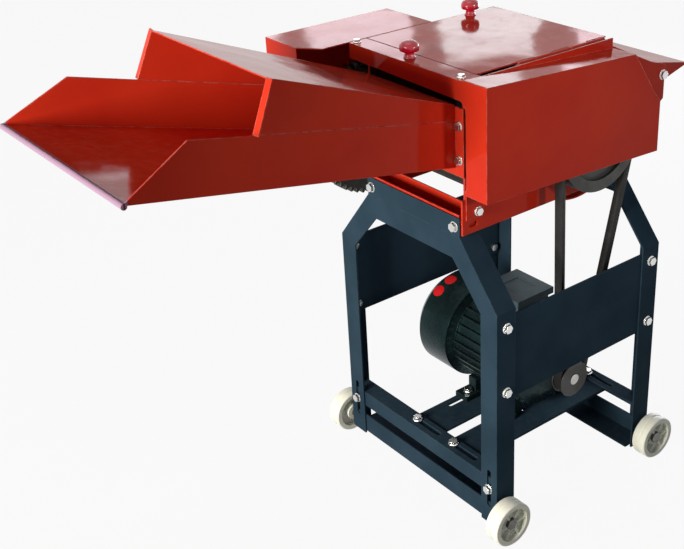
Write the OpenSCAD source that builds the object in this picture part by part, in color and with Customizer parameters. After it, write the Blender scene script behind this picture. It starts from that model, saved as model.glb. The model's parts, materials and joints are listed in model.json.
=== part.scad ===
// Electric chaff cutter: feed tray, spring-loaded feed rollers, belt-driven cutting rotor, leg frame.
// Millimetres. +X is the feed direction, -Y the belt side, +Y the gear side, Z = 0 the floor.

/* [Leg frame] */
// Outer length of the leg frame
frame_l = 362; // [340:1:400]
// Outer width across the legs
frame_w = 384; // [370:1:420]
// Width of a leg's front face
leg_face = 36; // [30:1:44]
// Width of a leg's side flange
leg_flange = 38; // [34:1:44]
// Thickness of the frame's sheet steel
frame_t = 3; // [2:0.5:4]
// Height of the leg ends above the floor
leg_bottom = 15.5; // [10:0.5:22]
// Height of the outer knee where the legs start to slant
knee_z = 407; // [388:1:418]
// Height of the shoulder where the slant ends
shoulder_z = 505; // [498:1:513]
// Width across the shoulders
shoulder_w = 222; // [218:1:226]
// Depth of the portal's top bar
portal_bar = 38; // [30:1:46]
// Upright leg of the top angle
top_angle_h = 31; // [26:1:36]
// Flat leg of the top angle
top_angle_d = 38; // [30:1:44]
// Height of the lower bar's face
lower_bar_h = 35; // [28:1:35]
// Depth of the lower bar's flange
lower_bar_d = 46; // [30:1:50]
// Lower edge of the side plates
side_plate_z0 = 249; // [228:1:268]
// Upper edge of the side plates
side_plate_z1 = 396; // [378:1:396]

/* [Wheels] */
// Wheel diameter
wheel_d = 75; // [65:1:80]
// Wheel width
wheel_w = 28; // [22:1:34]
// Wheel centre, measured in from the frame's end
wheel_inset = 7; // [7:0.5:14]
// Stub axle diameter
axle_d = 12; // [10:0.5:14]

/* [Motor carriage] */
// Lower edge of the motor bars' faces
motor_bar_z = 74; // [74:1:80]
// Height of the motor bars' faces
motor_bar_h = 29; // [26:1:32]
// Depth of the motor bars' flanges
motor_bar_d = 30; // [26:1:40]
// Length of the adjusting slot in each leg
leg_slot_l = 72; // [66:1:76]
// Thickness of the slotted motor rails
motor_rail_t = 5; // [4:0.5:8]
// Width of the motor rails
motor_rail_w = 68; // [60:1:76]
// Foot spacing along the rails
foot_x = 150; // [140:1:156]
// Foot spacing from rail to rail
foot_y = 93; // [90:1:100]
// Shaft height above the feet
motor_h = 90; // [88:1:94]
// Motor axis, along the feed direction
motor_x = 29; // [20:1:34]
// Radius over the body's fins
motor_r = 78; // [70:1:78]
// Radius of the fan cowl
cowl_r = 90; // [84:1:92]
// Length of the fan cowl
cowl_l = 72; // [62:1:76]
// Far end of the fan cowl
cowl_y = 152; // [148:1:158]
// Motor shaft diameter
motor_shaft_d = 19; // [16:1:24]

/* [Belt drive] */
// Middle plane of the belt, out from the centre
belt_y = 145; // [144:0.5:146]
// Belt width
belt_w = 17; // [12:0.5:17]
// Belt thickness
belt_t = 10; // [8:0.5:11]
// Driven pulley's outer diameter
driven_d = 174; // [160:1:180]
// Motor pulley's outer diameter
drive_d = 62; // [58:1:70]
// Pulley width over both rims
pulley_w = 22; // [22:0.5:23]

/* [Base and housing] */
// Half width over the base rails
base_y = 115; // [115:0.5:118]
// Thickness of the base rails
rail_t = 4; // [3:0.5:4]
// Top of the base rails
rail_z1 = 564; // [553:1:566]
// Thickness of the housing walls
wall_t = 4; // [3:0.5:5]
// Front plane of the covers
cover_x = -172; // [-174:0.5:-170]
// Top edge of the housing walls
wall_z1 = 732; // [728:1:732]
// Rotor axis, along the feed direction
rotor_x = 73.5; // [70:0.5:77]
// Rotor axis height
rotor_z = 607; // [603:0.5:611]
// Radius swept by the blades
blade_r = 110; // [100:0.5:110]
// Main shaft diameter
main_shaft_d = 30; // [25:1:32]
// Number of cutter blades
blades = 3; // [2:1:4]

/* [Feed rollers] */
// Roller axis, along the feed direction
roller_x = -109; // [-112:0.5:-106]
// Lower roller's height
roller_z = 584; // [579:0.5:584]
// Radius over the lower roller's ribs
lower_r = 32; // [30:0.5:33]
// Radius over the upper roller's ribs
upper_r = 33; // [30:0.5:34]
// Ribs on each roller
roller_ribs = 10; // [8:1:14]
// Roller shaft diameter
roller_shaft_d = 24; // [18:1:24]
// Height of the sliding bearing blocks
block_h = 40; // [36:1:44]
// Width of the sliding bearing blocks
block_w = 40; // [36:1:44]
// Wire of the pressure springs
spring_wire = 3.2; // [2.5:0.1:3.6]
// Mean diameter of the pressure springs
spring_d = 19; // [16:0.5:22]
// Turns of the pressure springs
spring_turns = 5; // [4:1:6]

/* [Gears] */
// Module of the drive gears
drive_m = 4; // [3.8:0.05:4.2]
// Teeth of the pinion on the main shaft
pinion_teeth = 12; // [11:1:13]
// Teeth of the idler's large gear
idler_teeth = 22; // [20:1:24]
// Teeth of the idler's small gear
idler_pinion_teeth = 12; // [11:1:13]
// Teeth of the lower roller's gear
roller_teeth = 57; // [54:1:59]
// Module of the link gears between the rollers
link_m = 6; // [5.8:0.05:6.1]
// Teeth of each link gear
link_teeth = 13; // [13:1:13]
// Face width of the gears
gear_w = 18; // [14:1:20]

/* [Feed tray] */
// Sheet thickness of the covers and tray
sheet_t = 2; // [1.5:0.1:2]
// Lip of the tray
lip_x = -710; // [-730:1:-680]
// Floor height at the lip
lip_z = 740; // [723:1:748]
// Floor height at the throat
throat_z = 612; // [610:0.5:615]
// Near side of the throat
throat_y0 = -93; // [-95:0.5:-88]
// Far side of the throat
throat_y1 = 100; // [92:0.5:101]
// Near side of the lip
lip_y0 = -160; // [-175:1:-140]
// Far side of the lip
lip_y1 = 184; // [160:1:200]
// Height of the tray's walls
tray_wall = 69; // [60:1:72]
// How far the walls rake back at the lip
tray_rake = 91; // [70:1:110]
// Foot of the hood's front edge
hood_foot_x = -527; // [-540:1:-500]
// Top of the hood's front edge
hood_top_x = -499; // [-505:1:-480]
// Height of the hood's front edge
hood_z = 830; // [808:1:848]
// Height of the hood at the throat
hood_rear_z = 706; // [700:0.5:708]
// Width of the flanges folded on the hood's front edges
hood_fold = 11; // [8:0.5:14]

/* [Covers] */
// Near face of the belt guard, out from the centre
guard_y = 161; // [161:0.5:168]
// Front top corner of the belt guard
guard_z = 746; // [745:0.5:752]
// Fall of the belt guard from front to rear
guard_fall = 18; // [14:0.5:20]
// Rear end of the belt guard's top
guard_top_x = 134; // [125:1:140]
// Rear end of the belt guard
guard_x1 = 199; // [192:1:205]
// Height of the belt guard's face at the front
guard_h = 174; // [160:1:180]
// Width of the belt guard's front band
band_w = 44; // [38:1:45]
// Top of the lid
lid_z = 744; // [743:0.5:744]
// Rear edge of the lid
lid_x1 = 133; // [120:1:133]
// Far edge of the lid
lid_y1 = 154; // [150:0.5:154]
// Front of the gear guard
gear_guard_x0 = -248; // [-260:1:-240]
// Rear of the gear guard's tall part
gear_guard_x1 = -3; // [-10:1:2]
// Far face of the gear guard
gear_guard_y1 = 274; // [250:1:280]
// Lower edge of the gear guard
gear_guard_z0 = 568; // [558:1:588]
// Depth of the fixed cap strip in front of the lid
cap_d = 34; // [32:1:40]
// Front knob's place on the cap strip, out from the centre
front_knob_y = 27; // [0:1:60]
// Diameter of the knobs
knob_d = 30; // [22:0.5:32]
// Height of the knobs
knob_h = 27; // [22:0.5:32]

/* [Discharge] */
// Rear edge of the discharge cheeks
cheek_x = 268; // [262:1:275]
// Tip of the deflector
tip_x = 332; // [315:1:345]
// Height of the deflector's tip
tip_z = 660; // [653:1:664]
// Inner edge of the deflector
deflector_x = 236; // [236:0.5:240]
// Height of the deflector's inner edge
deflector_z = 680; // [678:0.5:683]

/* [Hidden] */
$fn = 48;

// Running and seating clearances
run = 0.05;
seat = 0.3;
slide = 0.3;

// Leg frame
hx = frame_l / 2;
hy = frame_w / 2;
sy = shoulder_w / 2;
bolt_d = 8;
slot_w = bolt_d + 1;
side_bolt_x = hx - leg_flange / 2;
side_bolt_z = [side_plate_z0 + 18, side_plate_z1 - 16];
leg_bolt_y = hy - leg_face / 2;
top_bolt_y = sy - 11;
top_bolt_z = shoulder_z + top_angle_h / 2;
base_z = shoulder_z + frame_t;
base_lip_z = shoulder_z + top_angle_h + 3;

// Wheels
wheel_x = hx - wheel_inset;
wheel_z = wheel_d / 2;
wheel_y0 = hy + 5;
wheel_y1 = wheel_y0 + wheel_w;
nut_recess = 9.3;

// Motor carriage
bar_x = hx - frame_t;
bar_top = motor_bar_z + motor_bar_h;
rail_top = bar_top - frame_t;
rail_low = rail_top - motor_rail_t;
rail_edge = 15;
motor_z = rail_top + motor_h;
foot_setback = 53;
foot_y1 = cowl_y - cowl_l - foot_setback;
foot_y0 = foot_y1 - foot_y;
body_y0 = foot_y0 - 16;
body_y1 = cowl_y - cowl_l - 18;
rail_bolt_x = bar_x - 16;
bar_slot_l = 63;
motor_slot_z = motor_bar_z + motor_bar_h / 3;

// Belt drive
groove_d = belt_t + 1;
driven_out = driven_d / 2 - 2;
drive_out = drive_d / 2 - 2;

// Housing
wall_y1 = base_y - rail_t;
wall_y0 = wall_y1 - wall_t;
wall_x0 = cover_x + 3;
throat_top = hood_rear_z - 6;
shell_r = blade_r + 3;
upper_z = roller_z + link_m * link_teeth;
slot_z0 = upper_z - block_h / 2 - slide;
bearing_w = 21;
shell_gap = 3;

// Gears
belt_side = -belt_y;
main_gear_y = 160;
roller_gear_y = main_gear_y + gear_w + 6;
link_y = base_y + 7;
pinion_r = drive_m * pinion_teeth / 2;
idler_r = drive_m * idler_teeth / 2;
idler_pinion_r = drive_m * idler_pinion_teeth / 2;
roller_gear_r = drive_m * roller_teeth / 2;
span = [roller_x - rotor_x, roller_z - rotor_z];
span_l = norm(span);
span_u = span / span_l;
mesh_a = pinion_r + idler_r;
mesh_b = idler_pinion_r + roller_gear_r;
idler_along = (span_l * span_l + mesh_a * mesh_a - mesh_b * mesh_b) / (2 * span_l);
idler_up = sqrt(mesh_a * mesh_a - idler_along * idler_along);
idler_x = rotor_x + span_u[0] * idler_along + span_u[1] * idler_up;
idler_z = rotor_z + span_u[1] * idler_along - span_u[0] * idler_up;
stud_d = 18;

// Tray
tray_l = cover_x - lip_x;
tray_slope = (lip_z - throat_z) / tray_l;
hem_d = 8;
function floor_z(x) = throat_z + (cover_x - x) * tray_slope;
function near_y(x) = throat_y0 + (lip_y0 - throat_y0) * (cover_x - x) / tray_l;
function far_y(x) = throat_y1 + (lip_y1 - throat_y1) * (cover_x - x) / tray_l;

// Covers
guard_slope = guard_fall / (guard_top_x - cover_x);
function guard_top(x) = guard_z - (x - cover_x) * guard_slope;
lid_x0 = cover_x + cap_d + 2;
hinge_y = -(wall_y0 - 6.5);
hinge_z = lid_z - 5;
hinge_r = 5;
hinge_x0 = roller_x + block_w / 2 + 32;
hinge_x1 = lid_x1 - 6;
pin_d = 5;
knobs_at = [[cover_x + 18, front_knob_y], [lid_x1 - 65, lid_y1 - 13]];
knob_stud_d = 8;
gear_guard_y0 = lid_y1 + 2;

// Discharge
pivot_x = deflector_x + 26;
pivot_z = deflector_z - 24;
deflector_y = wall_y0 - 2;

// The whole machine stands with its box centred on the origin
shift_x = -(lip_x - hem_d / 2 + tip_x) / 2;
shift_y = -(gear_guard_y1 - wheel_y1) / 2;

// Helpers
module placed() translate([shift_x, shift_y, 0]) children();
module block(low, high) translate(low) cube(high - low);
module along_y(y0, y1) translate([0, y1, 0]) rotate([90, 0, 0]) linear_extrude(y1 - y0) children();
module along_x(x0, x1) translate([x0, 0, 0]) rotate([90, 0, 90]) linear_extrude(x1 - x0) children();
module rod_y(x, z, d, y0, y1) translate([x, y0, z]) rotate([-90, 0, 0]) cylinder(d = d, h = y1 - y0);
module rod_x(y, z, d, x0, x1) translate([x0, y, z]) rotate([0, 90, 0]) cylinder(d = d, h = x1 - x0);
module rod_z(x, y, d, z0, z1) translate([x, y, z0]) cylinder(d = d, h = z1 - z0);
module both_sides() {
  children();
  mirror([0, 1, 0]) children();
}
module both_ends() {
  children();
  mirror([1, 0, 0]) children();
}

// A hexagon bolt: its head and washer above z = 0, its shank of the given grip below
module hex_bolt(d, grip, nut = true) {
  washer_t = 1.5;
  translate([0, 0, -grip]) cylinder(d = d - 2 * seat, h = grip + 0.1);
  cylinder(d = 2.1 * d, h = washer_t);
  translate([0, 0, washer_t]) cylinder(d = 1.85 * d, h = 0.65 * d, $fn = 6);
  if (nut) translate([0, 0, -grip]) mirror([0, 0, 1]) cylinder(d = 1.85 * d, h = 0.7 * d, $fn = 6);
}
module bolt_to_near(at, d, grip, nut = true) translate(at) rotate([90, 0, 0]) hex_bolt(d, grip, nut);
module bolt_to_front(at, d, grip, nut = true) translate(at) rotate([0, -90, 0]) hex_bolt(d, grip, nut);

// A round-ended slot in the XY plane, through z0 to z1
module slot_x(x, y, w, l, z0, z1) {
  for (s = [-1, 1]) rod_z(x + s * (l - w) / 2, y, w, z0, z1);
  block([x - (l - w) / 2, y - w / 2, z0], [x + (l - w) / 2, y + w / 2, z1]);
}

// Involute gear outline, its first tooth centred on the angle given
pressure = 20;
backlash = 0.6;
function roll(base, q) = q <= base ? 0 : sqrt(q * q / base / base - 1);
function inv_angle(base, q) = let (t = roll(base, q)) t * 180 / PI - atan(t);
function flank(m, teeth, q) =
  let (pitch = m * teeth / 2, base = pitch * cos(pressure))
  90 / teeth - backlash / pitch * 90 / PI + inv_angle(base, pitch) - inv_angle(base, q);
module gear_outline(m, teeth, first) {
  pitch = m * teeth / 2;
  radii = [pitch - 1.1 * m, pitch - 0.5 * m, pitch, pitch + 0.45 * m, pitch + 0.8 * m];
  last = len(radii) - 1;
  polygon([for (i = [0:teeth - 1], side = [-1, 1], j = [0:last])
    let (q = radii[side < 0 ? j : last - j], a = first + 360 * i / teeth + side * flank(m, teeth, q))
    q * [cos(a), sin(a)]]);
}
module gear(x, z, m, teeth, first, y0, bore) {
  difference() {
    translate([x, 0, z]) along_y(y0, y0 + gear_w) gear_outline(m, teeth, first);
    rod_y(x, z, bore, y0 - 1, y0 + gear_w + 1);
  }
}

// Colours
frame_blue = [0.2, 0.29, 0.37];
paint_red = [0.72, 0.16, 0.12];
band_orange = [0.9, 0.28, 0.14];
motor_green = [0.07, 0.13, 0.15];
zinc = [0.75, 0.75, 0.73];
steel = [0.6, 0.6, 0.6];
iron = [0.25, 0.25, 0.25];
nylon = [0.88, 0.91, 0.86];
crimson = [0.8, 0.08, 0.16];

// Leg frame
function slant_in() = let (u = [sy - hy, shoulder_z - knee_z]) [-u[1], u[0]] / norm(u) * frame_t;
module leg_frame() {
  inner_y = hy - leg_face;
  inner_knee = knee_z - 11;
  inner_sy = sy - 17;
  slot_reach = (leg_slot_l - slot_w) / 2;
  color(frame_blue) difference() {
    union() {
      along_x(-hx, -hx + frame_t) polygon([
        [-hy, leg_bottom], [-hy, knee_z], [-sy, shoulder_z],
        [sy, shoulder_z], [hy, knee_z], [hy, leg_bottom],
        [inner_y, leg_bottom], [inner_y, inner_knee], [inner_sy, shoulder_z - portal_bar],
        [-inner_sy, shoulder_z - portal_bar], [-inner_y, inner_knee], [-inner_y, leg_bottom]]);
      both_sides() {
        block([-hx, hy - frame_t, leg_bottom], [-hx + leg_flange, hy, knee_z]);
        along_x(-hx, -hx + leg_flange) polygon([
          [hy, knee_z], [sy, shoulder_z], [sy, shoulder_z] + slant_in(), [hy, knee_z] + slant_in(),
          [hy - frame_t, knee_z - frame_t]]);
      }
    }
    both_sides() {
      for (s = [-1, 1]) rod_x(leg_bolt_y, motor_slot_z + s * slot_reach, slot_w, -hx - 1, -hx + frame_t + 1);
      block([-hx - 1, leg_bolt_y - slot_w / 2, motor_slot_z - slot_reach],
        [-hx + frame_t + 1, leg_bolt_y + slot_w / 2, motor_slot_z + slot_reach]);
      for (z = side_bolt_z) rod_y(-side_bolt_x, z, bolt_d, hy - frame_t - 1, hy + 1);
    }
  }
}
module front_leg_frame() placed() leg_frame();
module rear_leg_frame() placed() mirror([1, 0, 0]) leg_frame();

module lower_bars() {
  reach = hy - frame_t - 1;
  low = leg_bottom + frame_t;
  placed() both_ends() color(frame_blue) {
    block([-bar_x, -reach, low], [-bar_x + frame_t, reach, low + lower_bar_h]);
    block([-bar_x, -reach, low], [-bar_x + lower_bar_d, reach, low + frame_t]);
  }
}

module top_angles() {
  placed() both_ends() color(frame_blue) difference() {
    union() {
      block([-hx, -sy, shoulder_z], [-hx + frame_t, sy, shoulder_z + top_angle_h]);
      block([-hx, -sy, shoulder_z], [-hx + top_angle_d, sy, base_z]);
    }
    for (s = [-1, 1]) rod_x(s * top_bolt_y, top_bolt_z, bolt_d, -hx - 1, -hx + frame_t + 1);
    both_ends() shell_relief();
  }
}

// Room for the curved sheet under the rotor, whatever the blades' radius
module shell_relief() rod_y(rotor_x, rotor_z, 2 * (shell_r + sheet_t + shell_gap), -sy - 1, sy + 1);

module side_plates() {
  placed() both_sides() color(frame_blue) difference() {
    block([-bar_x + 1, hy - 2 * frame_t, side_plate_z0], [bar_x - 1, hy - frame_t, side_plate_z1]);
    for (s = [-1, 1], z = side_bolt_z) rod_y(s * side_bolt_x, z, bolt_d, hy - 3 * frame_t, hy);
  }
}

module frame_bolts() {
  placed() color(zinc) {
    both_sides() for (s = [-1, 1], z = side_bolt_z)
      bolt_to_near([s * side_bolt_x, -hy, z], bolt_d, 2 * frame_t);
    both_ends() for (s = [-1, 1]) bolt_to_front([-hx, s * top_bolt_y, top_bolt_z], bolt_d, 2 * frame_t);
  }
}

// Wheels
module wheel_axles() {
  placed() both_ends() both_sides() color(zinc) {
    rod_y(wheel_x, wheel_z, axle_d, hy, wheel_y1 - 4);
    rod_y(wheel_x, wheel_z, 2 * wheel_inset, hy, wheel_y0 - seat);
    translate([wheel_x, wheel_y1 - nut_recess + seat, wheel_z]) rotate([-90, 0, 0])
      cylinder(d = 1.7 * axle_d, h = 6, $fn = 6);
  }
}
module wheel(end, side) {
  hub_d = 2.4 * axle_d;
  rim = 9;
  web_y0 = wheel_y0 + wheel_w / 2 - 3;
  web_y1 = web_y0 + 6;
  groove = 1.5;
  placed() translate([end * wheel_x, 0, wheel_z]) mirror([0, side < 0 ? 1 : 0, 0]) color(nylon) {
    rotate([-90, 0, 0]) rotate_extrude() polygon([
      [axle_d / 2 + run, wheel_y0], [hub_d / 2, wheel_y0], [hub_d / 2, web_y0], [wheel_z - rim, web_y0],
      [wheel_z - rim, wheel_y0 + 1], [wheel_z - groove, wheel_y0 + 1], [wheel_z, wheel_y0 + 1 + groove],
      [wheel_z, web_y0], [wheel_z - groove, web_y0 + groove], [wheel_z - groove, web_y1 - groove],
      [wheel_z, web_y1], [wheel_z, wheel_y1 - groove], [wheel_z - groove, wheel_y1],
      [wheel_z - rim, wheel_y1], [wheel_z - rim, web_y1], [hub_d / 2, web_y1],
      [hub_d / 2, wheel_y1 - nut_recess], [axle_d / 2 + run, wheel_y1 - nut_recess]]);
    for (i = [0:5]) rotate([0, 60 * i, 0])
      block([hub_d / 2 - 0.5, web_y1 - 0.5, -1.75], [wheel_z - rim + 0.5, wheel_y1 - 3, 1.75]);
  }
}
module wheel_front_near() wheel(-1, -1);
module wheel_front_far() wheel(-1, 1);
module wheel_rear_near() wheel(1, -1);
module wheel_rear_far() wheel(1, 1);

// Base
module base_rail() {
  difference() {
    block([-bar_x, -base_y, base_z], [bar_x, -wall_y1, rail_z1]);
    slot_y_hole(-hx + 24, base_z + 14);
  }
}
// An oval hole through the rail, lying along X
module slot_y_hole(x, z) {
  for (s = [-1, 1]) rod_y(x + s * 4, z, 8, -base_y - 1, -wall_y1 + 1);
  block([x - 4, -base_y - 1, z - 4], [x + 4, -wall_y1 + 1, z + 4]);
}
module near_base_rail() placed() color(paint_red) base_rail();
module far_base_rail() placed() color(paint_red) mirror([0, 1, 0]) base_rail();

module base_cross_members() {
  reach = wall_y0 - seat;
  placed() color(paint_red) difference() {
    union() {
      block([-bar_x, -reach, base_z], [-bar_x + 40, reach, base_z + frame_t]);
      block([-bar_x, -reach, base_z], [-bar_x + frame_t, reach, base_lip_z]);
      block([-bar_x + 40 - frame_t, -reach, base_z], [-bar_x + 40, reach, base_lip_z]);
      block([bar_x - 28, -reach, base_z], [bar_x, reach, base_z + frame_t]);
      block([bar_x - frame_t, -reach, base_z], [bar_x, reach, base_lip_z]);
    }
    both_ends() for (s = [-1, 1])
      rod_x(s * top_bolt_y, top_bolt_z, bolt_d, -bar_x - 1, -bar_x + frame_t + 1);
    shell_relief();
  }
}

// Housing
module housing_wall(far) {
  low = far ? wall_y0 : -wall_y1;
  high = low + wall_t;
  color(paint_red) difference() {
    along_y(low, high) polygon([
      [wall_x0, base_z], [wall_x0, wall_z1], [lid_x1, wall_z1], [deflector_x - 6, deflector_z + 5],
      [cheek_x, pivot_z + 16], [cheek_x, pivot_z - 42], [rotor_x + shell_r + 13, rotor_z - 39],
      [bar_x - 2, base_lip_z], [bar_x - 2, base_z]]);
    rod_y(rotor_x, rotor_z, main_shaft_d + 10, low - 1, high + 1);
    rod_y(roller_x, roller_z, roller_shaft_d + 8, low - 1, high + 1);
    rod_y(pivot_x, pivot_z, bolt_d, low - 1, high + 1);
    block([roller_x - block_w / 2, low - 1, slot_z0], [roller_x + block_w / 2, high + 1, wall_z1 + 1]);
    if (far) rod_y(idler_x, idler_z, stud_d, low - 1, high + 1);
  }
}
module housing_near_wall() placed() housing_wall(false);
module housing_far_wall() placed() housing_wall(true);

module throat_plate() {
  reach = wall_y0 - seat;
  placed() color(paint_red) difference() {
    block([wall_x0, -reach, throat_z - 16], [wall_x0 + 4, reach, wall_z1]);
    block([wall_x0 - 1, throat_y0, throat_z], [wall_x0 + 5, throat_y1, throat_top]);
  }
}

// Curved sheet under and behind the rotor, with the discharge floor behind it
module rotor_shell() {
  reach = wall_y0 - seat;
  ledge_z = rotor_z - 4;
  exit_z = rotor_z + 8;
  exit_x = rotor_x + sqrt(pow(shell_r, 2) - 64);
  placed() color(paint_red) {
    difference() {
      rod_y(rotor_x, rotor_z, 2 * (shell_r + sheet_t), -reach, reach);
      rod_y(rotor_x, rotor_z, 2 * shell_r, -reach - 1, reach + 1);
      block([rotor_x - 2 * shell_r, -reach - 1, ledge_z], [rotor_x, reach + 1, rotor_z + 2 * shell_r]);
      block([rotor_x - 1, -reach - 1, exit_z], [rotor_x + 2 * shell_r, reach + 1, rotor_z + 2 * shell_r]);
    }
    along_y(-reach, reach) polygon([[exit_x, exit_z], [exit_x, exit_z - 4],
      [cheek_x - 2, pivot_z - 36], [cheek_x - 2, pivot_z - 36 + sheet_t], [exit_x + 3, exit_z]]);
    along_y(-reach, reach) polygon([[lid_x1 + 2, wall_z1 - 1], [lid_x1 + 2, wall_z1 - 1 - sheet_t],
      [deflector_x - 7, deflector_z + 2], [deflector_x - 7, deflector_z + 2 + sheet_t]]);
  }
}

module ledger_blade() {
  reach = wall_y0 - seat;
  edge_x = rotor_x - blade_r - 2;
  placed() color(steel) along_y(-reach, reach) polygon([
    [edge_x - 26, throat_z], [edge_x - 26, throat_z - 14], [edge_x - 8, throat_z - 14],
    [edge_x, throat_z - 2], [edge_x, throat_z]]);
}

// Feed tray: a sloping floor, flared upright walls and a flange at the throat
// A wall's outline is given by distance before the throat and height
module tray_side(y_rear, y_lip, outline, t) {
  turn = atan((y_lip - y_rear) / tray_l);
  side = y_rear < 0 ? -1 : 1;
  translate([cover_x, y_rear, 0]) rotate([0, 0, -turn])
    along_y(min(0, side * t), max(0, side * t)) polygon([for (p = outline) [-p[0] / cos(turn), p[1]]]);
}
tray_outline = [
  [0, throat_z - sheet_t], [tray_l, lip_z - sheet_t], [tray_l, lip_z],
  [tray_l - tray_rake, floor_z(lip_x + tray_rake) + tray_wall], [0, throat_z + tray_wall]];
module feed_tray() {
  flange = [[throat_y0 - 19, throat_z - 14], [throat_y1 + 10, throat_top + 3]];
  lap = sheet_t / 2;
  placed() color(paint_red) {
    tray_side(throat_y0, lip_y0, tray_outline, sheet_t);
    tray_side(throat_y1, lip_y1, tray_outline, sheet_t);
    intersection() {
      along_y(lip_y0 - 5, lip_y1 + 5) polygon([[cover_x, throat_z], [lip_x, lip_z],
        [lip_x, lip_z - sheet_t], [cover_x, throat_z - sheet_t]]);
      translate([0, 0, throat_z - 50]) linear_extrude(lip_z - throat_z + 100) polygon([
        [cover_x, throat_y0 - lap], [lip_x, lip_y0 - lap],
        [lip_x, lip_y1 + lap], [cover_x, throat_y1 + lap]]);
    }
    rod_y(lip_x, lip_z - 3, hem_d, lip_y0 - sheet_t, lip_y1 + sheet_t);
    difference() {
      block([cover_x, flange[0][0], flange[0][1]], [cover_x + 3, flange[1][0], flange[1][1]]);
      block([cover_x - 1, throat_y0, throat_z], [cover_x + 4, throat_y1, throat_top]);
      for (z = tray_bolt_z) rod_x(tray_bolt_y, z, 7, cover_x - 1, cover_x + 4);
    }
  }
}
tray_bolt_y = throat_y0 - 10;
tray_bolt_z = [throat_z + 12, throat_z + 64];

// Hood over the rear of the tray: two upright sides, a sloping top and folded front edges
hood_inset = 0.6;
module tray_hood() {
  rear_x = cover_x - hood_inset;
  lap = sheet_t / 2;
  placed() color(paint_red) {
    hood_side(throat_y0, lip_y0);
    hood_side(throat_y1, lip_y1);
    intersection() {
      along_y(lip_y0, lip_y1) polygon([[rear_x, hood_rear_z], [hood_top_x, hood_z],
        [hood_top_x, hood_z - sheet_t], [rear_x, hood_rear_z - sheet_t]]);
      translate([0, 0, hood_rear_z - 50]) linear_extrude(hood_z - hood_rear_z + 100) polygon([
        [rear_x, near_y(rear_x) - lap], [hood_top_x, near_y(hood_top_x) - lap],
        [hood_top_x, far_y(hood_top_x) + lap], [rear_x, far_y(rear_x) + lap]]);
    }
  }
}
module hood_side(y_rear, y_lip) {
  foot = cover_x - hood_foot_x;
  top = cover_x - hood_top_x;
  foot_z = floor_z(hood_foot_x) + tray_wall + seat;
  rear_z = floor_z(cover_x - hood_inset) + tray_wall + seat;
  outline = [[hood_inset, rear_z], [foot, foot_z], [top, hood_z], [hood_inset, hood_rear_z]];
  fold = [[foot, foot_z], [top, hood_z], [top - sheet_t, hood_z], [foot - sheet_t, foot_z]];
  tray_side(y_rear, y_lip, outline, sheet_t);
  tray_side(y_rear, y_lip, fold, hood_fold);
}

// Belt guard: near face, top strip, chamfer, rear rim, front band and the arm over the throat
guard_profile = [
  [cover_x, guard_z - guard_h], [cover_x, guard_z], [guard_top_x, guard_top(guard_top_x)],
  [guard_x1 - 16, guard_z - guard_fall - 71], [guard_x1, guard_z - guard_fall - 90],
  [guard_x1, guard_z - guard_h - guard_fall]];
module belt_guard() {
  t = sheet_t;
  inner = wall_y1 + 1;
  arm_y1 = lid_y1 - 0.5;
  band_in = -guard_y + band_w;
  arm_low = throat_top + 14;
  corner = 15;
  tab_z1 = guard_z - guard_h + 8;
  step_x = cover_x + (guard_z - lid_z) / guard_slope;
  p = guard_profile;
  placed() color(paint_red) difference() {
    union() {
      along_y(-guard_y, -guard_y + t) polygon(p);
      along_y(-guard_y, -inner) polygon([p[1], p[2], p[2] - [0, t], p[1] - [0, t]]);
      along_y(-guard_y, -inner) polygon([p[2], p[3], p[3] - [t, t], p[2] - [t, t]]);
      along_y(-guard_y, -inner) polygon([p[3], p[4], p[4] - [t, t], p[3] - [t, t]]);
      block([guard_x1 - t, -guard_y, p[5][1]], [guard_x1, -guard_y + 30, p[4][1]]);
      color(band_orange) along_x(cover_x, cover_x + t) difference() {
        polygon([[-guard_y, guard_z - guard_h], [-guard_y, guard_z], [-inner, guard_z], [-inner, lid_z],
          [arm_y1, lid_z], [arm_y1, arm_low + 6], [band_in + corner, arm_low],
          [band_in + corner, arm_low - corner], [band_in, arm_low - corner], [band_in, guard_z - guard_h]]);
        translate([band_in + corner, arm_low - corner]) circle(r = corner);
      }
      along_y(-inner - t, -inner) polygon([[step_x, lid_z], [guard_top_x, lid_z], p[2], [step_x, lid_z - t]]);
      block([cover_x, -inner, lid_z - t], [cover_x + cap_d, arm_y1, lid_z]);
      block([cover_x, -base_y - t, guard_tab_z - 10], [guard_tab_x + 12, -base_y, tab_z1]);
    }
    for (y = cap_bolt_y) rod_z(cover_x + 10, y, 6, lid_z - t - 1, lid_z + 1);
    knob_hole(0);
    rod_y(guard_tab_x, guard_tab_z, 7, -base_y - t - 1, -base_y + 1);
  }
}
cap_bolt_y = [hinge_y + 3, lid_y1 - 8];
guard_tab_x = cover_x + 22;
guard_tab_z = guard_z - guard_h - 30;

module cover_bolts() {
  placed() color(zinc) {
    for (y = cap_bolt_y) translate([cover_x + 10, y, lid_z]) hex_bolt(6, sheet_t, false);
    for (z = tray_bolt_z) bolt_to_front([cover_x, tray_bolt_y, z], 7, 3, false);
    bolt_to_near([guard_tab_x, -base_y - sheet_t, guard_tab_z], 7, sheet_t, false);
    both_sides() {
      bolt_to_near([pivot_x, -wall_y1, pivot_z], bolt_d, wall_t, false);
      rod_y(pivot_x, pivot_z, bolt_d - 2 * seat, -wall_y0 - 0.1, -deflector_y + sheet_t + 4);
    }
  }
}

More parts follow.
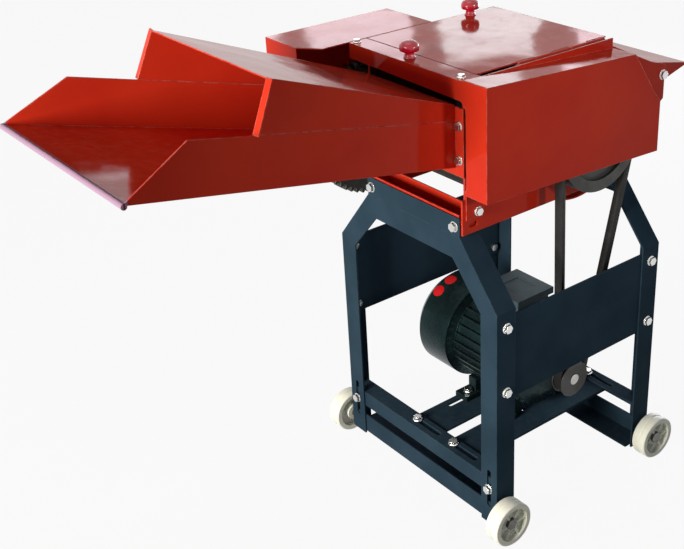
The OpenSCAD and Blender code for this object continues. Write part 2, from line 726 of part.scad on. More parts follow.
// Gear guard: far face, top, front and rear walls, open below and towards the housing
module gear_guard() {
  t = sheet_t;
  low = gear_guard_z0;
  ext_x = rotor_x + pinion_r + 3 * drive_m;
  ext_z = idler_z + idler_r + 2 * drive_m;
  outline = [
    [gear_guard_x0, low], [gear_guard_x0, lid_z], [gear_guard_x1, lid_z], [gear_guard_x1 + 4, ext_z],
    [idler_x + idler_r * 0.6, ext_z], [ext_x, rotor_z + pinion_r + 12], [ext_x, low]];
  inside = [
    [gear_guard_x0 + t, low - 1], [gear_guard_x0 + t, lid_z - t], [gear_guard_x1 - t, lid_z - t],
    [gear_guard_x1 + 4 - t, ext_z - t], [idler_x + idler_r * 0.6 - t, ext_z - t],
    [ext_x - t, rotor_z + pinion_r + 12 - t], [ext_x - t, low - 1]];
  placed() color(paint_red) {
    difference() {
      along_y(gear_guard_y0, gear_guard_y1) polygon(outline);
      along_y(gear_guard_y0 - 1, gear_guard_y1 - t) polygon(inside);
      translate([0, 0, low - 1]) linear_extrude(lid_z - low + 2) polygon([
        [gear_guard_x0 - 1, gear_guard_y0 - 1], [gear_guard_x0 + 27, gear_guard_y0 - 1],
        [gear_guard_x0 + 27, gear_guard_y0], [gear_guard_x0 + t, gear_guard_y0 + 33],
        [gear_guard_x0 - 1, gear_guard_y0 + 33]]);
    }
    for (x = [wall_x0 + 2, gear_guard_x1 - 38]) gear_guard_bracket(x, x + bracket_w);
  }
}
bracket_w = 20;
// A folded strap from the far wall's outer face, out below the lid's rim and up to the guard's top
module gear_guard_bracket(x0, x1) {
  t = sheet_t;
  arm_z = lid_z - 14;
  out_y = gear_guard_y0 + 4;
  block([x0, wall_y1, arm_z - 24], [x1, wall_y1 + t, arm_z]);
  block([x0, wall_y1, arm_z - t], [x1, out_y, arm_z]);
  block([x0, out_y - t, arm_z - t], [x1, out_y, lid_z - 0.5 * t]);
}

// Lid with its knuckles
knuckle_l = (hinge_x1 - hinge_x0) / 5;
function knuckle_x(i) = hinge_x0 + i * knuckle_l;
module knuckles(first) {
  for (i = [first:2:4])
    rod_x(hinge_y, hinge_z, 2 * hinge_r, knuckle_x(i) + slide, knuckle_x(i + 1) - slide);
}
module lid() {
  near = hinge_y + 1;
  rim = 8;
  t = sheet_t;
  placed() color(paint_red) difference() {
    union() {
      block([lid_x0, near, lid_z - t], [lid_x1, lid_y1, lid_z]);
      block([lid_x1 - t, near + 8, lid_z - rim], [lid_x1, lid_y1, lid_z]);
      block([lid_x0, lid_y1 - t, lid_z - rim], [lid_x1, lid_y1, lid_z]);
      knuckles(1);
    }
    for (i = [0:2:4])
      rod_x(hinge_y, hinge_z, 2 * hinge_r + 2 * slide, knuckle_x(i) - slide, knuckle_x(i + 1) + slide);
    rod_x(hinge_y, hinge_z, pin_d + 2 * run, hinge_x0 - 1, hinge_x1 + 1);
    knob_hole(1);
  }
}
module lid_hinge_leaf() {
  leaf_z0 = hinge_z - 30;
  leaf_y1 = hinge_y - hinge_r + 1;
  placed() color(paint_red) difference() {
    union() {
      for (i = [0:2:4])
        block([knuckle_x(i) + slide, -wall_y0, leaf_z0], [knuckle_x(i + 1) - slide, leaf_y1, hinge_z - 1]);
      block([hinge_x0 + slide, -wall_y0, leaf_z0], [hinge_x1 - slide, leaf_y1, hinge_z - 2 * hinge_r]);
      knuckles(0);
    }
    rod_x(hinge_y, hinge_z, pin_d + 2 * run, hinge_x0 - 1, hinge_x1 + 1);
  }
}
module lid_hinge_pin() placed() color(steel) rod_x(hinge_y, hinge_z, pin_d, hinge_x0, hinge_x1);
module knob_hole(i) rod_z(knobs_at[i][0], knobs_at[i][1], knob_stud_d + 2 * run,
  lid_z - sheet_t - 1, lid_z + 1);
// A mushroom knob whose stud passes through the sheet under it
module lid_knob(i) {
  r = knob_d / 2;
  stud_r = knob_stud_d / 2;
  stud_end = -sheet_t - 2;
  at = [knobs_at[i][0], knobs_at[i][1], lid_z];
  placed() translate(at) color(crimson) rotate_extrude() polygon(concat(
    [[0, stud_end], [stud_r, stud_end], [stud_r, slide], [r * 0.6, slide], [r * 0.5, knob_h * 0.3],
      [r, knob_h * 0.45], [r, knob_h * 0.62]],
    [for (a = [15:15:90]) [r * cos(a), knob_h * (0.62 + 0.38 * sin(a))]]));
}
module lid_knob_front() lid_knob(0);
module lid_knob_rear() lid_knob(1);

// Deflector: a sloping sheet with tapered side flanges on two pivot bolts
module discharge_deflector() {
  t = sheet_t;
  placed() color(paint_red) difference() {
    union() {
      along_y(-deflector_y, deflector_y) polygon([
        [deflector_x, deflector_z], [tip_x, tip_z], [tip_x, tip_z - t], [deflector_x, deflector_z - t]]);
      both_sides() along_y(deflector_y - t, deflector_y) polygon([
        [deflector_x, deflector_z], [tip_x, tip_z], [tip_x, tip_z - t], [pivot_x + 24, pivot_z - 10],
        [pivot_x - 6, pivot_z - 12], [deflector_x, deflector_z - 10]]);
    }
    rod_y(pivot_x, pivot_z, bolt_d - 2 * seat + 2 * run, -deflector_y - 1, deflector_y + 1);
  }
}

// Rotor
module main_shaft() {
  placed() color(steel)
    rod_y(rotor_x, rotor_z, main_shaft_d, -belt_y - pulley_w / 2 - 1, main_gear_y + gear_w + 4);
}
lug_t = 14;
blade_t = 6;
blade_foot = 0.6 * blade_r;
blade_bolt_r = 0.74 * blade_r;
disc_inset = 37;
blade_bolt_y = wall_y0 - disc_inset - 11;
module each_blade() translate([rotor_x, 0, rotor_z]) for (i = [0:blades - 1])
  rotate([0, -i * 360 / blades, 0]) children();
module rotor_discs() {
  hub_d = main_shaft_d + 26;
  disc_y = wall_y0 - disc_inset;
  disc_t = 8;
  placed() color(iron) difference() {
    union() {
      rod_y(rotor_x, rotor_z, hub_d, -disc_y, disc_y);
      both_sides() {
        rod_y(rotor_x, rotor_z, 1.2 * blade_r, disc_y - disc_t, disc_y);
        each_blade() block([0.4 * blade_r, disc_y - 22, -lug_t], [0.88 * blade_r, disc_y, 0]);
      }
    }
    rod_y(rotor_x, rotor_z, main_shaft_d, -disc_y - 1, disc_y + 1);
  }
}
module cutter_blades() {
  reach = wall_y0 - 6;
  placed() color(steel) each_blade() difference() {
    along_y(-reach, reach) polygon([
      [blade_foot, 0], [blade_r - 1, 0], [blade_r - blade_t, blade_t], [blade_foot, blade_t]]);
    for (s = [-1, 1]) rod_z(blade_bolt_r, s * blade_bolt_y, bolt_d, -1, blade_t + 1);
  }
}
module blade_bolts() {
  placed() color(zinc) each_blade() for (s = [-1, 1])
    translate([blade_bolt_r, s * blade_bolt_y, blade_t]) hex_bolt(bolt_d, blade_t, false);
}
module main_bearings() {
  half = min(33, rotor_z - rail_z1 - 2);
  placed() both_sides() color(iron) difference() {
    union() {
      block([rotor_x - 40, wall_y1, rotor_z - half], [rotor_x + 40, wall_y1 + 10, rotor_z + half]);
      rod_y(rotor_x, rotor_z, 1.9 * half, wall_y1, wall_y1 + bearing_w);
    }
    rod_y(rotor_x, rotor_z, main_shaft_d + 2 * run, wall_y1 - 1, wall_y1 + bearing_w + 1);
  }
}

// Pulleys, turned about Z with the groove at the middle
module pulley_turned(out_d, bore, hub_d, web) {
  r = out_d / 2;
  half = pulley_w / 2;
  gap = belt_w / 2 + seat;
  bottom = r - 2 - groove_d;
  rim_in = bottom - 6;
  rotate_extrude() polygon(concat(
    [[bore / 2, half], [hub_d / 2, half]],
    web ? [[hub_d / 2, 4], [rim_in, 4], [rim_in, half]] : [],
    [[r, half], [r, gap], [bottom, gap], [bottom, -gap], [r, -gap], [r, -half]],
    web ? [[rim_in, -half], [rim_in, -4], [hub_d / 2, -4]] : [],
    [[hub_d / 2, -half], [bore / 2, -half]]));
}
module driven_pulley() {
  placed() color(iron) translate([rotor_x, belt_side, rotor_z]) rotate([90, 0, 0]) difference() {
    pulley_turned(driven_d, main_shaft_d, main_shaft_d + 28, true);
    for (i = [0:3]) rotate(45 + 90 * i) rod_z(0.27 * driven_d, 0, 0.16 * driven_d, -pulley_w, pulley_w);
  }
}
module motor_pulley() {
  placed() color(iron) translate([motor_x, belt_side, motor_z]) rotate([90, 0, 0])
    pulley_turned(drive_d, motor_shaft_d, motor_shaft_d + 16, false);
}

// Belt: the area inside its loop, arcs round both pulleys joined by straight runs
module belt_region(grow) {
  steps = 48;
  a = [rotor_x, rotor_z];
  b = [motor_x, motor_z];
  ra = driven_out + grow;
  rb = drive_out + grow;
  d = b - a;
  along = atan2(d[1], d[0]);
  spread = acos((ra - rb) / norm(d));
  polygon(concat(
    [for (i = [0:steps]) let (q = along + spread + (360 - 2 * spread) * i / steps) a + ra * [cos(q), sin(q)]],
    [for (i = [0:steps]) let (q = along - spread + 2 * spread * i / steps) b + rb * [cos(q), sin(q)]]));
}
module drive_belt() {
  placed() color([0.05, 0.05, 0.05]) along_y(belt_side - belt_w / 2, belt_side + belt_w / 2) difference() {
    belt_region(0);
    belt_region(-belt_t);
  }
}

// Gear train
to_idler = atan2(idler_z - rotor_z, idler_x - rotor_x);
to_roller = atan2(roller_z - idler_z, roller_x - idler_x);
module main_pinion() {
  placed() color(iron) gear(rotor_x, rotor_z, drive_m, pinion_teeth, to_idler, main_gear_y, main_shaft_d);
}
module idler_stud() {
  placed() color(steel) {
    rod_y(idler_x, idler_z, stud_d - 2 * run, wall_y0, roller_gear_y + gear_w + 3);
    rod_y(idler_x, idler_z, stud_d + 14, wall_y1, main_gear_y - 2);
    rod_y(idler_x, idler_z, stud_d + 8, roller_gear_y + gear_w + seat, roller_gear_y + gear_w + 6);
  }
}
module idler_gear() {
  placed() color(iron) {
    gear(idler_x, idler_z, drive_m, idler_teeth, to_idler + 180 + 180 / idler_teeth, main_gear_y, stud_d);
    gear(idler_x, idler_z, drive_m, idler_pinion_teeth, to_roller, roller_gear_y, stud_d);
    difference() {
      rod_y(idler_x, idler_z, stud_d + 14, main_gear_y + gear_w - 0.5, roller_gear_y + 0.5);
      rod_y(idler_x, idler_z, stud_d, main_gear_y, roller_gear_y + 1);
    }
  }
}
module roller_gear() {
  first = to_roller + 180 + 180 / roller_teeth;
  web_y = roller_gear_y + 2 * gear_w / 3;
  placed() color(iron) difference() {
    gear(roller_x, roller_z, drive_m, roller_teeth, first, roller_gear_y, roller_shaft_d);
    difference() {
      rod_y(roller_x, roller_z, 2 * (roller_gear_r - 4 * drive_m), web_y, roller_gear_y + gear_w + 1);
      rod_y(roller_x, roller_z, roller_shaft_d + 30, roller_gear_y, roller_gear_y + gear_w + 2);
    }
  }
}
module link_gear(z, first) placed() color(iron)
  gear(roller_x, z, link_m, link_teeth, first, link_y, roller_shaft_d);
module lower_link_gear() link_gear(roller_z, 90);
module upper_link_gear() link_gear(upper_z, 270 + 180 / link_teeth);

// Feed rollers
module feed_roller(z, r, y0, y1) {
  core = r - 6;
  body_low = throat_y0 + 5;
  body_high = throat_y1 - 5;
  color(iron) {
    rod_y(roller_x, z, roller_shaft_d, y0, y1);
    difference() {
      translate([roller_x, 0, z]) along_y(body_low, body_high) {
        circle(r = core);
        for (i = [0:roller_ribs - 1]) rotate(360 * i / roller_ribs) polygon([
          [core - 1, -4], [r, -2], [r, 2], [core - 1, 4]]);
      }
      rod_y(roller_x, z, roller_shaft_d - 0.2, body_low + 1, body_high - 1);
    }
  }
}
module lower_roller() placed() feed_roller(roller_z, lower_r, -wall_y1 - 1, roller_gear_y + gear_w + 3);
module upper_roller() placed() feed_roller(upper_z, upper_r, -wall_y1 - 8, link_y + gear_w + 3);
module roller_bushes() {
  placed() both_sides() color([0.7, 0.5, 0.2]) difference() {
    union() {
      rod_y(roller_x, roller_z, roller_shaft_d + 8 - 2 * run, wall_y0 - 1, wall_y1);
      rod_y(roller_x, roller_z, roller_shaft_d + 18, wall_y0 - 5, wall_y0);
    }
    rod_y(roller_x, roller_z, roller_shaft_d + 2 * run, wall_y0 - 6, wall_y1 + 1);
  }
}
module bearing_blocks() {
  placed() both_sides() color(iron) difference() {
    block([roller_x - block_w / 2 + slide, wall_y0 - 5, upper_z - block_h / 2],
      [roller_x + block_w / 2 - slide, wall_y1 + 5, upper_z + block_h / 2]);
    rod_y(roller_x, upper_z, roller_shaft_d + 2 * run, wall_y0 - 6, wall_y1 + 6);
  }
}

// Pressure springs: one unbroken wire each, swept along a helix with straight-cut ends
spring_z0 = upper_z + block_h / 2 + seat + spring_wire / 2;
spring_z1 = wall_z1 - seat - spring_wire / 2;
spring_rings = 8 * spring_turns;
spring_rise = (spring_z1 - spring_z0) / spring_rings;
function helix(i) = let (a = 360 * i / 8) [spring_d / 2 * cos(a), spring_d / 2 * sin(a), spring_rise * i];
wire_sides = 6;
wire_points = [for (i = [0:spring_rings], j = [0:wire_sides - 1])
  let (a = 360 * i / 8, b = 360 * j / wire_sides, q = spring_wire / 2)
  helix(i) + [q * cos(b) * cos(a), q * cos(b) * sin(a), q * sin(b)]];
wire_faces = concat(
  [for (i = [0:spring_rings - 1], j = [0:wire_sides - 1])
    let (k = (j + 1) % wire_sides, a = i * wire_sides, b = a + wire_sides) [a + j, b + j, a + k]],
  [for (i = [0:spring_rings - 1], j = [0:wire_sides - 1])
    let (k = (j + 1) % wire_sides, a = i * wire_sides, b = a + wire_sides) [a + k, b + j, b + k]],
  [for (j = [1:wire_sides - 2]) [0, j, j + 1]],
  [for (j = [1:wire_sides - 2]) let (e = spring_rings * wire_sides) [e, e + j + 1, e + j]]);
spring_steps = [for (i = [0:spring_rings], j = [i + 5:1:spring_rings]) norm(helix(i) - helix(j))];
spring_gap = min(spring_steps) - spring_wire;
echo(least_spring_gap = spring_gap);
module pressure_springs() {
  spring_y = (wall_y0 + wall_y1) / 2;
  placed() for (s = [-1, 1]) translate([roller_x, s * spring_y, spring_z0]) color(steel)
    polyhedron(wire_points, wire_faces);
}
module spring_caps() {
  half = block_w / 2 + 14;
  middle = (wall_y0 + wall_y1) / 2;
  placed() both_sides() color(iron) {
    block([roller_x - half, middle - 13, wall_z1], [roller_x + half, middle + 11, wall_z1 + 4]);
    rod_z(roller_x, middle, spring_d - spring_wire - 4, wall_z1 - 10, wall_z1 + 1);
  }
}

// Motor carriage
module motor_bars() {
  reach = hy - frame_t - 2;
  placed() both_ends() color(frame_blue) difference() {
    union() {
      block([-bar_x, -reach, motor_bar_z], [-bar_x + frame_t, reach, bar_top]);
      block([-bar_x, -reach, bar_top - frame_t], [-bar_x + motor_bar_d, reach, bar_top]);
    }
    for (s = [-1, 1]) rod_x(s * leg_bolt_y, motor_slot_z, bolt_d, -bar_x - 1, -bar_x + frame_t + 1);
    for (y = [foot_y0, foot_y1]) translate([-rail_bolt_x, y - (bar_slot_l - slot_w) / 2, 0]) rotate(90)
      slot_x(0, 0, slot_w, bar_slot_l, rail_top - 1, bar_top + 1);
  }
}
module motor_rails() {
  foot_slot = 92;
  reach = bar_x - frame_t - seat;
  placed() for (y = [foot_y0, foot_y1]) color(frame_blue) difference() {
    block([-reach, y + rail_edge - motor_rail_w, rail_low], [reach, y + rail_edge, rail_top]);
    for (s = [-1, 1]) {
      slot_x(motor_x + s * foot_x / 2, y, slot_w, foot_slot, rail_low - 1, rail_top + 1);
      rod_z(s * rail_bolt_x, y, bolt_d, rail_low - 1, rail_top + 1);
    }
  }
}
foot_t = 10;
fin_h = 6;
module motor_body() {
  fins = 30;
  fin_t = 3;
  hole = 2 * (motor_r - fin_h - 9);
  placed() color(motor_green) difference() {
    union() {
      translate([motor_x, 0, motor_z]) along_y(body_y0, body_y1) {
        circle(r = motor_r - fin_h);
        for (i = [0:fins - 1]) rotate(360 * (i + 0.5) / fins)
          translate([motor_r - fin_h - 1, -fin_t / 2]) square([fin_h + 1, fin_t]);
      }
      for (y = [foot_y0, foot_y1], s = [-1, 1]) {
        foot = motor_x + s * foot_x / 2;
        knee = motor_x + s * (foot_x / 2 - 22);
        block([foot - 16, y - 15, rail_top], [foot + 16, y + 15, rail_top + foot_t]);
        block([knee - 12, y - 9, rail_top], [knee + 12, y + 9, rail_top + 34]);
      }
    }
    rod_y(motor_x, motor_z, hole, body_y0 - 1, body_y1 + 1);
    for (y = [foot_y0, foot_y1], s = [-1, 1])
      rod_z(motor_x + s * foot_x / 2, y, bolt_d, rail_top - 1, rail_top + foot_t + 1);
    block([motor_x - box_w / 2, box_y0, box_z0], [motor_x + box_w / 2, box_y1, box_z1]);
  }
}
box_w = 84;
box_y0 = foot_y0 + 3;
box_y1 = foot_y1;
box_rise = 123;
box_z0 = motor_z + motor_r - fin_h;
box_z1 = motor_z + box_rise;
module terminal_box() {
  lid_t = 12;
  neck = box_w / 2 - 6;
  hollow = neck - 6;
  placed() color([0.27, 0.33, 0.37]) difference() {
    union() {
      block([motor_x - neck, box_y0 + 6, box_z0], [motor_x + neck, box_y1 - 6, box_z1 - lid_t]);
      block([motor_x - box_w / 2, box_y0, box_z1 - lid_t], [motor_x + box_w / 2, box_y1, box_z1]);
    }
    block([motor_x - hollow, box_y0 + 12, box_z0 + 3], [motor_x + hollow, box_y1 - 12, box_z1 - 3]);
    block([motor_x - 22, box_y0 + 24, box_z1 - 1.5], [motor_x + 22, box_y1 - 24, box_z1 + 1]);
  }
}
module motor_shields() {
  r = motor_r - 4;
  inner_r = motor_r - fin_h - 9 - run;
  bore_r = motor_shaft_d / 2 + run;
  nose_r = 36;
  placed() translate([motor_x, 0, motor_z]) color(motor_green) {
    rotate([-90, 0, 0]) rotate_extrude() polygon([
      [bore_r, body_y0 - 22], [nose_r, body_y0 - 22], [r - 8, body_y0 - 10], [r, body_y0 - 8],
      [r, body_y0], [inner_r, body_y0], [inner_r, body_y0 + 6], [bore_r, body_y0 + 6]]);
    rotate([-90, 0, 0]) rotate_extrude() polygon([
      [bore_r, body_y1 - 6], [inner_r, body_y1 - 6], [inner_r, body_y1], [r, body_y1],
      [r, body_y1 + 8], [r - 8, body_y1 + 12], [nose_r, body_y1 + 16], [bore_r, body_y1 + 16]]);
  }
}
module fan_cowl() {
  y0 = cowl_y - cowl_l;
  t = 2;
  ring = motor_r - 4;
  placed() translate([motor_x, 0, motor_z]) color(motor_green) difference() {
    union() {
      rotate([-90, 0, 0]) rotate_extrude() polygon([
        [cowl_r - t, y0 - 4], [cowl_r, y0 - 4], [cowl_r, cowl_y - 12], [cowl_r - 10, cowl_y], [0, cowl_y],
        [0, cowl_y - t], [cowl_r - 11, cowl_y - t], [cowl_r - t, cowl_y - 13]]);
      rotate([-90, 0, 0]) rotate_extrude() polygon([[ring + run, body_y1 + 2], [cowl_r - 1, y0 - 10],
        [cowl_r, y0 - 10], [cowl_r, y0 - 3], [ring + run, body_y1 + 7]]);
    }
    for (r = [24:12:60], a = [0:720 / r:359]) rotate([0, a, 0]) rod_y(r, 0, 5, cowl_y - 6, cowl_y + 1);
  }
}
module motor_bolts() {
  placed() color(zinc) {
    both_ends() for (s = [-1, 1]) bolt_to_front([-hx, s * leg_bolt_y, motor_slot_z], bolt_d, 2 * frame_t);
    for (y = [foot_y0, foot_y1], s = [-1, 1]) {
      translate([s * rail_bolt_x, y, bar_top]) hex_bolt(bolt_d, motor_rail_t + frame_t);
      translate([motor_x + s * foot_x / 2, y, rail_top + foot_t]) hex_bolt(bolt_d, foot_t + motor_rail_t);
    }
  }
}
module motor_shaft() {
  core_d = 2 * (motor_r - fin_h - 14);
  placed() color(steel) {
    rod_y(motor_x, motor_z, motor_shaft_d, -belt_y - pulley_w / 2 - 1, cowl_y - 16);
    rod_y(motor_x, motor_z, core_d, body_y0 + 14, body_y1 - 14);
  }
}
module motor_fan() {
  vanes = 7;
  y0 = body_y1 + 24;
  y1 = cowl_y - 18;
  placed() translate([motor_x, 0, motor_z]) color(iron) difference() {
    union() {
      rod_y(0, 0, motor_shaft_d + 14, y0, y1);
      rod_y(0, 0, 1.2 * motor_r, y0, y0 + 3);
      for (i = [0:vanes - 1]) rotate([0, 360 * i / vanes, 0])
        block([motor_shaft_d / 2 + 4, y0, -1], [0.88 * motor_r, y1 - 4, 1]);
    }
    rod_y(0, 0, motor_shaft_d, y0 - 1, y1 + 1);
  }
}

front_leg_frame();
rear_leg_frame();
lower_bars();
top_angles();
side_plates();
frame_bolts();
wheel_axles();
wheel_front_near();
wheel_front_far();
wheel_rear_near();
wheel_rear_far();
near_base_rail();
far_base_rail();
base_cross_members();
housing_near_wall();
housing_far_wall();
throat_plate();
rotor_shell();
ledger_blade();
feed_tray();
tray_hood();
cover_bolts();
belt_guard();
gear_guard();
lid();
lid_hinge_leaf();
lid_hinge_pin();
lid_knob_front();
lid_knob_rear();
discharge_deflector();
main_shaft();
rotor_discs();
cutter_blades();
blade_bolts();
main_bearings();
driven_pulley();
main_pinion();
idler_stud();
idler_gear();
lower_roller();
roller_gear();
lower_link_gear();
roller_bushes();
upper_roller();
upper_link_gear();
bearing_blocks();
pressure_springs();
spring_caps();
motor_bars();
motor_rails();
motor_body();
motor_shields();
fan_cowl();
terminal_box();
motor_bolts();
motor_shaft();
motor_fan();
motor_pulley();
drive_belt();
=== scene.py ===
import json
import math

import bmesh
import bpy
from mathutils import Matrix, Vector


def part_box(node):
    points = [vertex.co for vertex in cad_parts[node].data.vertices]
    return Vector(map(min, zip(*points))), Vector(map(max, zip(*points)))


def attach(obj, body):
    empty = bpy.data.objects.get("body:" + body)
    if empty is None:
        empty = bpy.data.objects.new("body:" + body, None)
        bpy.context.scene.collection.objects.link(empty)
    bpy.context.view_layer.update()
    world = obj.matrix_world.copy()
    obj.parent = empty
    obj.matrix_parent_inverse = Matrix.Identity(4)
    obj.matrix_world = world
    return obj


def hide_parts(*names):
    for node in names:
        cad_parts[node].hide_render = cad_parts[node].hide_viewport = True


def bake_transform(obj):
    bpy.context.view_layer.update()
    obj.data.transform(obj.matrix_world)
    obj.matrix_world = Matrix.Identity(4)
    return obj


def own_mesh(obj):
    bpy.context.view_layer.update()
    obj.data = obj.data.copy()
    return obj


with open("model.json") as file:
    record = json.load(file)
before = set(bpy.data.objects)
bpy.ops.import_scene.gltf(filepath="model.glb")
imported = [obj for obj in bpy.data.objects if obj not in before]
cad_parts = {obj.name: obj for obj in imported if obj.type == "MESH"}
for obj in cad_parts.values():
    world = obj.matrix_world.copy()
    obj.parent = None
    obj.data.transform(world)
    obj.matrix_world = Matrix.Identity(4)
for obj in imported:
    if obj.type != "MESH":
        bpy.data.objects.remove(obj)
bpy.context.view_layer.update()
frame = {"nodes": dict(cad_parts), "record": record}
nodes = frame["nodes"]
print("frame loaded:", len(nodes), "nodes")


# Shader wires: sums and products of sockets read as plain expressions
class Wire:
    def __init__(self, tree, socket=None):
        self.tree = tree
        self.socket = socket

    def node(self, kind, settings=None, inputs=None, output=0):
        made = self.tree.nodes.new(kind)
        for key, value in (settings or {}).items():
            setattr(made, key, value)
        for key, value in (inputs or {}).items():
            if isinstance(value, Wire):
                self.tree.links.new(value.socket, made.inputs[key])
            else:
                made.inputs[key].default_value = value
        return Wire(self.tree, made.outputs[output] if made.outputs else None)

    def maths(self, operation, first, second=0.0):
        return self.node("ShaderNodeMath", {"operation": operation}, {0: first, 1: second})

    def __add__(self, other):
        return self.maths("ADD", self, other)

    def __radd__(self, other):
        return self.maths("ADD", other, self)

    def __sub__(self, other):
        return self.maths("SUBTRACT", self, other)

    def __rsub__(self, other):
        return self.maths("SUBTRACT", other, self)

    def __mul__(self, other):
        return self.maths("MULTIPLY", self, other)


def newFinish(name):
    material = bpy.data.materials.new(name)
    material.use_nodes = True
    material.node_tree.nodes.clear()
    return material, Wire(material.node_tree)


def surfacePlace(start):
    return start.node("ShaderNodeTexCoord", output="Object")


def stretched(place, scale):
    return place.node("ShaderNodeMapping", {}, {"Vector": place, "Scale": scale})


def noiseAt(place, scale, detail=2.0, rough=0.5):
    return place.node("ShaderNodeTexNoise", {}, {"Vector": place, "Scale": scale, "Detail": detail,
                                                 "Roughness": rough})


def smooth(value, low, high):
    return value.node("ShaderNodeMapRange", {"interpolation_type": "SMOOTHSTEP"},
                      {"Value": value, "From Min": low, "From Max": high})


def mixColour(factor, first, second):
    return factor.node("ShaderNodeMix", {"data_type": "RGBA"}, {0: factor, 6: first, 7: second}, 2)


# Spans over which the shared masks fade in, and the samples of a rounded edge
shading = {"upward": (0.55, 0.98), "edge": (0.02, 0.2), "bevelSamples": 4}


def surfaceNormal(start):
    return start.node("ShaderNodeNewGeometry", output="Normal")


def facingUp(start):
    height = start.node("ShaderNodeSeparateXYZ", {}, {0: surfaceNormal(start)}, 2)
    return smooth(height, *shading["upward"])


def roundedNormal(start, radius):
    return start.node("ShaderNodeBevel", {"samples": shading["bevelSamples"]}, {"Radius": radius})


def edgeMask(start, rounded):
    match = start.node("ShaderNodeVectorMath", {"operation": "DOT_PRODUCT"},
                       {0: rounded, 1: surfaceNormal(start)}, "Value")
    return smooth(1 - match, *shading["edge"])


def bumped(start, height, rounded=None):
    inputs = {"Height": height, "Distance": 1.0, "Strength": 1.0}
    if rounded:
        inputs["Normal"] = rounded
    return start.node("ShaderNodeBump", {}, inputs)


def finishWith(start, inputs):
    shader = start.node("ShaderNodeBsdfPrincipled", {}, inputs)
    start.node("ShaderNodeOutputMaterial", {}, {"Surface": shader})


# Painted reflection and shade: the hem along the tray's front lip is painted pale lilac as a reflection of
# the white surroundings, with a painted shade line along the fold
def lipPaintedReflection(place, grit, colour, lip):
    across = place.node("ShaderNodeSeparateXYZ", {}, {0: place}, 0) - lip["edge"] + grit * lip["ragged"]
    hemReflection = 1 - smooth(across, lip["wide"] * lip["core"], lip["wide"])
    offLine = place.maths("ABSOLUTE", across - lip["fold"])
    fold = 1 - smooth(offLine, lip["foldWide"] * lip["foldCore"], lip["foldWide"])
    reflectedHem = mixColour(hemReflection * lip["reflectionCover"], colour, lip["colour"])
    return mixColour(fold * hemReflection, reflectedHem, lip["foldShadeColour"])


# What all paints share: noise as detail and roughness, spans over which marks fade in, and what they add to
# the roughness
paintMarks = {
    "cloudNoise": (5.0, 0.55), "gritNoise": (6.0, 0.65), "scratchNoise": (3.0, 0.6), "peelNoise": (1.0, 0.5),
    "waveNoise": (1.5, 0.4), "cloudSpan": (0.34, 0.68), "rubSpan": (0.36, 0.6), "dustSpan": (0.42, 0.72),
    "scratchSpan": (0.7, 0.76), "scratchAreas": (0.5, 0.64), "dustGloss": 0.4, "scratchGloss": 0.2,
    "rubGloss": 0.2}


# Brushed enamel on sheet steel: cloudy coats, orange peel, slow waves of the sheet, rubbed edges, dust
def enamel(name, look):
    material, start = newFinish(name)
    place = surfacePlace(start)
    marks = paintMarks
    cloud = noiseAt(place, look["cloudScale"], *marks["cloudNoise"])
    grit = noiseAt(place, look["gritScale"], *marks["gritNoise"])
    rounded = roundedNormal(start, look["edgeRadius"])
    rub = edgeMask(start, rounded) * smooth(grit, *marks["rubSpan"]) * look["edgeRub"]
    lines = noiseAt(stretched(place, look["scratchRun"]), 1.0, *marks["scratchNoise"])
    scratches = smooth(lines, *marks["scratchSpan"]) * smooth(cloud, *marks["scratchAreas"]) * look["scratch"]
    dust = facingUp(start) * smooth(grit, *marks["dustSpan"]) * look["dust"]
    colour = mixColour(smooth(cloud, *marks["cloudSpan"]), look["colour"], look["deep"])
    colour = mixColour(dust, colour, look["dustColour"])
    colour = mixColour(scratches, colour, look["scratchColour"])
    colour = mixColour(rub, colour, look["edgeColour"])
    # Painted reflection and painted shade on the tray's hem, where the look holds a lip
    if "lip" in look:
        colour = lipPaintedReflection(place, grit, colour, look["lip"])
    gloss = look["roughness"] + grit * look["gritGloss"] + dust * marks["dustGloss"]
    gloss = gloss + scratches * marks["scratchGloss"] + rub * marks["rubGloss"]
    peel = noiseAt(place, look["peelScale"], *marks["peelNoise"]) * look["peelDepth"]
    wave = noiseAt(place, look["waveScale"], *marks["waveNoise"]) * look["waveDepth"]
    finishWith(start, {
        "Base Color": colour, "Roughness": gloss, "IOR": look["ior"], "Specular IOR Level": look["specular"],
        "Specular Tint": look["specularTint"], "Normal": bumped(start, peel + wave, rounded)})
    return material


redPaint = {
    "colour": (0.60, 0.036, 0.014, 1), "deep": (0.54, 0.027, 0.012, 1), "cloudScale": 6.0, "gritScale": 60.0,
    "roughness": 0.06, "gritGloss": 0.06, "ior": 1.28, "specular": 0.3, "specularTint": (1.0, 0.16, 0.09, 1),
    "edgeRadius": 0.0016, "edgeRub": 0.7, "edgeColour": (0.78, 0.42, 0.38, 1),
    "scratchRun": (4.0, 190.0, 190.0), "scratch": 0.25, "scratchColour": (0.80, 0.20, 0.14, 1),
    "dust": 0.08, "dustColour": (0.66, 0.34, 0.28, 1),
    "peelScale": 300.0, "peelDepth": 0.00001, "waveScale": 8.0, "waveDepth": 0.0026}
# The tray's lip: a painted pale reflection along the hem (its colour) and a painted shade line at the fold
trayPaint = dict(redPaint, lip={
    "edge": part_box("feed_tray")[0].x, "wide": 0.0120, "core": 0.75, "reflectionCover": 0.85, "ragged": 0.003,
    "fold": 0.0062, "foldWide": 0.0020, "foldCore": 0.3,
    "colour": (0.30, 0.25, 0.39, 1), "foldShadeColour": (0.13, 0.012, 0.035, 1)})
